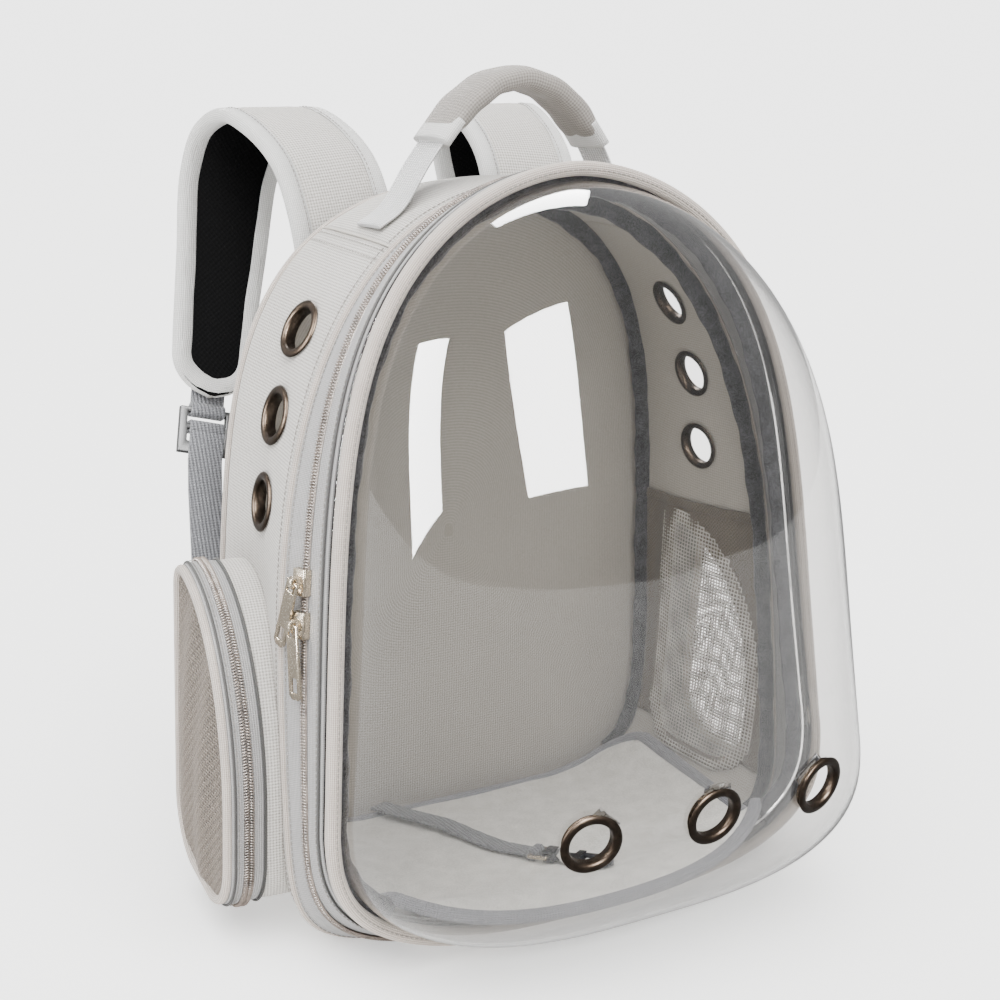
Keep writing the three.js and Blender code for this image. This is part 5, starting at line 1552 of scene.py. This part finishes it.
half_strap = STRAP_THICKNESS / 2
cloth_layer = strap_layer("strap_cloth", -half_strap + 1.2, half_strap - 0.4, 2.5, oxford, crown=0.8)
pair = both_sides(cloth_layer, "strap_cloth", ["shoulder_strap"])
mesh_layer = strap_layer("strap_mesh", -half_strap + 0.5, -half_strap + 1.9, 1.5, air_mesh)
both_sides(mesh_layer, "strap_mesh", ())


def binding_section(inner_wave):
    """A folded tape seen end on: round outside, open towards the pad."""
    made = []
    for k in range(11):
        a = -math.pi / 2 + math.pi * k / 10
        made.append((half_strap * 0.98 * math.sin(a), STRAP_BINDING * 0.42 * math.cos(a) ** 0.7))
    depth = STRAP_BINDING * 0.58 + inner_wave
    lip = [(1.02, -depth), (0.86, -depth), (0.8, STRAP_BINDING * 0.1)]
    made += [(half_strap * share, b) for share, b in lip]
    made += [(-half_strap * share, b) for share, b in reversed(lip)]
    return made


def strap_binding():
    """The tape folded over the strap's edge, sewn through, wavy where it turns at the end."""
    count = len(strap_path)
    rows = []
    order = [(i, -1) for i in range(count)] + [(i, 1) for i in reversed(range(count))]
    for n, (i, turn) in enumerate(order):
        point, x, face, run = strap_path[i]
        half = STRAP_WIDTH / 2 * strap_share(i)
        slope = 0
        if 0 < i < count - 1:
            slope = (strap_share(i + 1) - strap_share(i - 1)) * STRAP_WIDTH / 2
            slope /= max((strap_path[i + 1][0] - strap_path[i - 1][0]).length, 0.01)
        out = (x * turn - run * slope).normalized()
        if i == count - 1:
            out = (run + x * turn * 0.2).normalized()
        centre = point + x * turn * half - out * STRAP_BINDING * 0.42
        near_end = smooth_step(i / count, 0.86, 1)
        wave = 0.16 * math.sin(n * 0.45) * (1 + 2.5 * near_end)
        rows.append([centre + face * outside * a + out * b for a, b in binding_section(wave)])
    piece = grid_object("strap_binding", rows, strap_tape, closed_columns=True)
    return close_ends(piece)


both_sides(strap_binding(), "strap_binding", ())


def strap_stitches():
    """Rows of stitches through the binding on both edges of a strap."""
    places = []
    for turn in (-1, 1):
        line, outs = [], []
        for i, (point, x, face, _) in enumerate(strap_path[:-8]):
            reach = STRAP_WIDTH / 2 * strap_share(i) - STRAP_BINDING * 0.86
            line.append(point + x * turn * reach + face * outside * (half_strap * 1.02))
            outs.append(face * outside)
        places += stitch_row(line, outs, lift=0.1)
    return scatter("strap_stitches", STITCH, places, thread)


both_sides(strap_stitches(), "strap_stitches", ())


# Hard pieces of the frame, rounded over


def refined(node, name, material, bevel, segments=2, angle=30):
    """A copy of a hard CAD piece with its corners rounded over."""
    source = nodes[node]
    copy = source.copy()
    copy.data = source.data.copy()
    copy.name = name
    copy.parent = None
    for key in list(copy.keys()):
        del copy[key]
    bpy.context.scene.collection.objects.link(copy)
    data = bmesh.new()
    data.from_mesh(copy.data)
    bmesh.ops.remove_doubles(data, verts=data.verts, dist=0.00002)
    bmesh.ops.dissolve_limit(data, angle_limit=math.radians(3), verts=data.verts, edges=data.edges)
    data.to_mesh(copy.data)
    data.free()
    rounding = copy.modifiers.new("rounding", "BEVEL")
    rounding.width = bevel * MM
    rounding.segments = segments
    rounding.limit_method = "ANGLE"
    rounding.angle_limit = math.radians(angle)
    apply_modifiers(copy)
    copy.data.materials.clear()
    copy.data.materials.append(material)
    select_only(copy)
    bpy.ops.object.mode_set(mode="EDIT")
    bpy.ops.mesh.select_all(action="SELECT")
    bpy.ops.uv.cube_project(cube_size=1.0, correct_aspect=False, scale_to_bounds=False)
    bpy.ops.object.mode_set(mode="OBJECT")
    bpy.ops.object.shade_smooth_by_angle(angle=math.radians(35))
    return copy


def show_refined(node, name, material, slot, *rounding, body="carrier"):
    """Puts a rounded-over copy in the place of a hard piece of the frame."""
    settle(refined(node, name, material, *rounding), body, [node])


for side in ("right", "left"):
    show_refined(f"ladder_lock_{side}", f"ladder_lock_{side}_plate", black_plastic, "plastic", 0.8, 3)
    show_refined(f"strap_tab_{side}", f"strap_tab_{side}_loop", webbing, "webbing", 0.25)
    show_refined(f"strap_webbing_{side}", f"strap_webbing_{side}_loop", webbing, "webbing", 0.25)

for part in ("upper", "lower"):
    show_refined(f"slider_{part}", f"slider_{part}_body", nickel, "nickel", 0.35)
    show_refined(f"pull_{part}", f"pull_{part}_plate", nickel, "nickel", 0.22, 3, body=f"{part}_pull")

# Floor mat and leash


def inset_height(at, x, inset):
    """Height of an outline's foot, drawn in by an inset, at a place beside the middle."""
    low, high = 0, 0.32
    for _ in range(26):
        middle = (low + high) / 2
        px, _, nx, _ = at(middle)
        if px - nx * inset < x:
            low = middle
        else:
            high = middle
    _, pz, _, nz = at(low)
    return pz - nz * inset


def floor_under(x, y):
    """Height of what the mat lies on: the base, the door's foot, then the dome's floor."""
    rear = clamp((y - fold_y(0)) / (back_y(0) - fold_y(0)))
    lines = [inset_height(at, abs(x), BASE_THICKNESS + 1.3) for at in (fold_at, back_at)]
    flat = 0.6 * (1 - smooth_step(abs(x), BAG_WIDTH * 0.2, BAG_WIDTH * 0.35))
    inner = lerp(lines[0], lines[1], rear) - flat
    over_door = inset_height(door_at, abs(x), FLANGE_INSET + BUBBLE_WALL + 3.4)
    front = door_y(over_door)
    near_door = 1 - smooth_step(y, front + 8, front + 30)
    forward = max(0, front - y)
    share = clamp(forward / BUBBLE_DEPTH, 0, 0.97)
    spread = (1 - share**DOME_POWER) ** (1 / DOME_POWER)
    lifted = BUBBLE_CENTRE - (BUBBLE_CENTRE - over_door) * spread - bubble_sag(forward)
    return lerp(inner, max(lifted, inner), near_door) + SEAM_GAP


MAT_FRONT_Y, MAT_BACK_Y = door_y(0) - 23, BAG_DEPTH / 2 - 8


MAT_FRONT_ROUND, MAT_REAR_ROUND = 58, 26


def mat_plan(inset, count):
    """Points round the mat from above: a wide curve in front, small rounds behind."""
    half = MAT_HALF_WIDTH - inset
    shoulder = MAT_FRONT_Y + MAT_FRONT_ROUND
    front = shoulder - MAT_FRONT_Y - inset
    rear = MAT_REAR_ROUND - inset
    rear_y = MAT_BACK_Y - inset - rear
    dense = []
    for i in range(61):
        a = -math.pi / 2 + math.pi / 2 * i / 60
        dense.append(Vector((half * math.cos(a), shoulder + front * math.sin(a), 0)))
    for i in range(25):
        a = math.pi / 2 * i / 24
        dense.append(Vector((half - rear + rear * math.cos(a), rear_y + rear * math.sin(a), 0)))
    left = [Vector((-p.x, p.y, 0)) for p in reversed(dense)]
    return resample(dense + left, count)[:-1]


def mat_height(x, y):
    """The mat's top, a little uneven as soft board covered in plush is."""
    wave = 0.5 * math.sin(x * 0.035 + 1) * math.sin(y * 0.05) + 0.3 * math.sin(x * 0.09 - y * 0.04)
    return floor_under(x, y) + MAT_THICKNESS + wave


MAT_LIFT = 0.2


def floor_mat():
    """The plush mat: rings from its middle out along the underside, then back over the top."""
    edge = mat_plan(MAT_BINDING * 0.6, 180)
    rows = []
    scales = (0.02, 0.2, 0.4, 0.6, 0.75, 0.87, 0.95, 1)
    for scale in scales:
        row = [Vector((p.x * scale, p.y * scale, 0)) for p in edge]
        rows.append([Vector((p.x, p.y, floor_under(p.x, p.y) + MAT_LIFT)) for p in row])
    for scale in reversed(scales):
        row = [Vector((p.x * scale, p.y * scale, 0)) for p in edge]
        drop = 1.0 if scale == 1 else 0
        rows.append([Vector((p.x, p.y, mat_height(p.x, p.y) - drop)) for p in row])
    mat = grid_object("plush_mat", rows, plush_mat, closed_columns=True)
    return close_ends(mat)


mat = settle(floor_mat(), replaces=["floor_mat"])

edge = mat_plan(MAT_BINDING / 2, 260)
mat_points = [Vector((p.x, p.y, floor_under(p.x, p.y) + MAT_THICKNESS / 2 + MAT_LIFT)) for p in edge]
mat_across = [(p - Vector((0, 0, p.z))).normalized() for p in mat_points]
mat_tape = sweep(
    "mat_edge_tape",
    stations(mat_points, mat_across, True),
    flat_section(MAT_BINDING * 1.5, MAT_THICKNESS + 1.2, 4, MAT_THICKNESS * 0.45),
    mat_edge,
    True,
)
settle(mat_tape, replaces=["mat_binding"])

show_refined("leash_webbing", "leash_strip", webbing, "webbing", 0.2)
show_refined("leash_ring", "leash_ring_wire", nickel, "nickel", 0.5, 3)
show_refined("leash_hook", "leash_hook_body", hook_metal, "hook", 0.5, 3, 25)
show_refined("hook_gate", "hook_gate_bar", hook_metal, "hook", 0.2, 2, 25, body="gate")

# Camera, lights and floor

CAMERA = Vector((-517.06, -834.31, 439.70)) * MM
FORWARD = Vector((0.50653, 0.83173, -0.22727))
CAMERA_UP = Vector((0.12143, 0.19214, 0.97383))
CAMERA_LENS = 67.01
FLOOR_GAP = 0.0004
WINDOW_RADIANCE, REAR_RADIANCE = 105, 50


def place_camera():
    data = bpy.data.cameras.new("camera")
    data.sensor_width = 36
    data.lens = CAMERA_LENS
    camera = bpy.data.objects.new("camera", data)
    bpy.context.scene.collection.objects.link(camera)
    back = -FORWARD.normalized()
    right = CAMERA_UP.cross(back).normalized()
    upright = back.cross(right).normalized()
    turn = Matrix((right, upright, back)).transposed().to_4x4()
    camera.matrix_world = Matrix.Translation(CAMERA) @ turn
    bpy.context.scene.camera = camera


def window_light(name, centre, across, rise, radiance, seen_in):
    """A softbox given by its middle and its two edges, facing the bag, seen in gloss or on cloth."""
    data = bpy.data.lights.new(name, "AREA")
    data.shape = "RECTANGLE"
    data.size, data.size_y = Vector(across).length, Vector(rise).length
    data.energy = math.pi * radiance * data.size * data.size_y
    x = Vector(across).normalized()
    z = x.cross(Vector(rise)).normalized()
    if z.dot(Vector(centre)) < 0:
        x, z = -x, -z
    y = z.cross(x)
    lamp = bpy.data.objects.new(name, data)
    bpy.context.scene.collection.objects.link(lamp)
    turn = Matrix((x, y, z)).transposed().to_4x4()
    lamp.matrix_world = Matrix.Translation(Vector(centre)) @ turn
    lamp.visible_diffuse = seen_in != "gloss"
    lamp.visible_glossy = seen_in != "cloth"
    lamp.visible_transmission = seen_in != "cloth"


def studio():
    """A pale sweep under soft light, with windows for the gloss."""
    world = bpy.data.worlds.new("studio")
    world.use_nodes = True
    tree = world.node_tree
    background = tree.nodes["Background"]
    background.inputs[0].default_value = linear(0xFFFFFF)
    path = add_node(tree, "ShaderNodeLightPath").outputs
    straight = math_node(tree, "LESS_THAN", path["Glossy Depth"], 0.5)
    clear = math_node(tree, "MULTIPLY", straight, path["Is Transmission Ray"])
    seen = math_node(tree, "MULTIPLY", path["Is Camera Ray"], 3.0)
    strength = add_node(tree, "ShaderNodeMath", {0: clear, 1: 1.7, 2: seen}, operation="MULTIPLY_ADD")
    tree.links.new(math_node(tree, "ADD", strength.outputs[0], 0.55), background.inputs[1])
    bpy.context.scene.world = world
    bpy.ops.mesh.primitive_plane_add(size=14, location=(0, 0, -FLOOR_GAP))
    floor = bpy.context.object
    floor.name = "floor"
    paper, tree, shader = blank_material("white paper sweep", 0xF7F7F6, 0.9)
    shader.inputs["Specular IOR Level"].default_value = 0.1
    shader.inputs["Emission Color"].default_value = linear(0xFFFFFF)
    shader.inputs["Emission Strength"].default_value = 0.7
    grain = remap(tree, noise(tree, 3), 0.3, 0.7, 0, 0.04)
    tree.links.new(mixed(tree, grain, 0xF7F7F6, 0xEDEDEC), shader.inputs["Base Color"])
    floor.data.materials.append(paper)
    floor.visible_glossy = False
    slim = ((-1.45, 0.22, 0.78), (-0.005, -0.51, 0.25), (0.505, 0.65, 0.9))
    wide = ((-0.51, -1.12, 1.2), (0.79, -0.22, 0.065), (0.59, 0.675, 1.06))
    rear = ((0.4, 0.88, 1.49), (0.665, -0.285, 0.03), (-0.125, -0.395, 0.365))
    window_light("slim_window", *slim, WINDOW_RADIANCE, "gloss")
    window_light("wide_window", *wide, WINDOW_RADIANCE, "gloss")
    window_light("rear_window", *rear, REAR_RADIANCE, "gloss")
    window_light("slim_fill", *slim, 8, "cloth")
    window_light("wide_fill", *wide, 5, "cloth")
    sun = bpy.data.lights.new("sky", "SUN")
    sun.energy = 9.0
    sun.angle = 1.3
    sky = bpy.data.objects.new("sky", sun)
    bpy.context.scene.collection.objects.link(sky)
    sky.visible_glossy = False
    sky.visible_transmission = False
    sky.rotation_euler = (0.35, -0.2, 0)


place_camera()
studio()
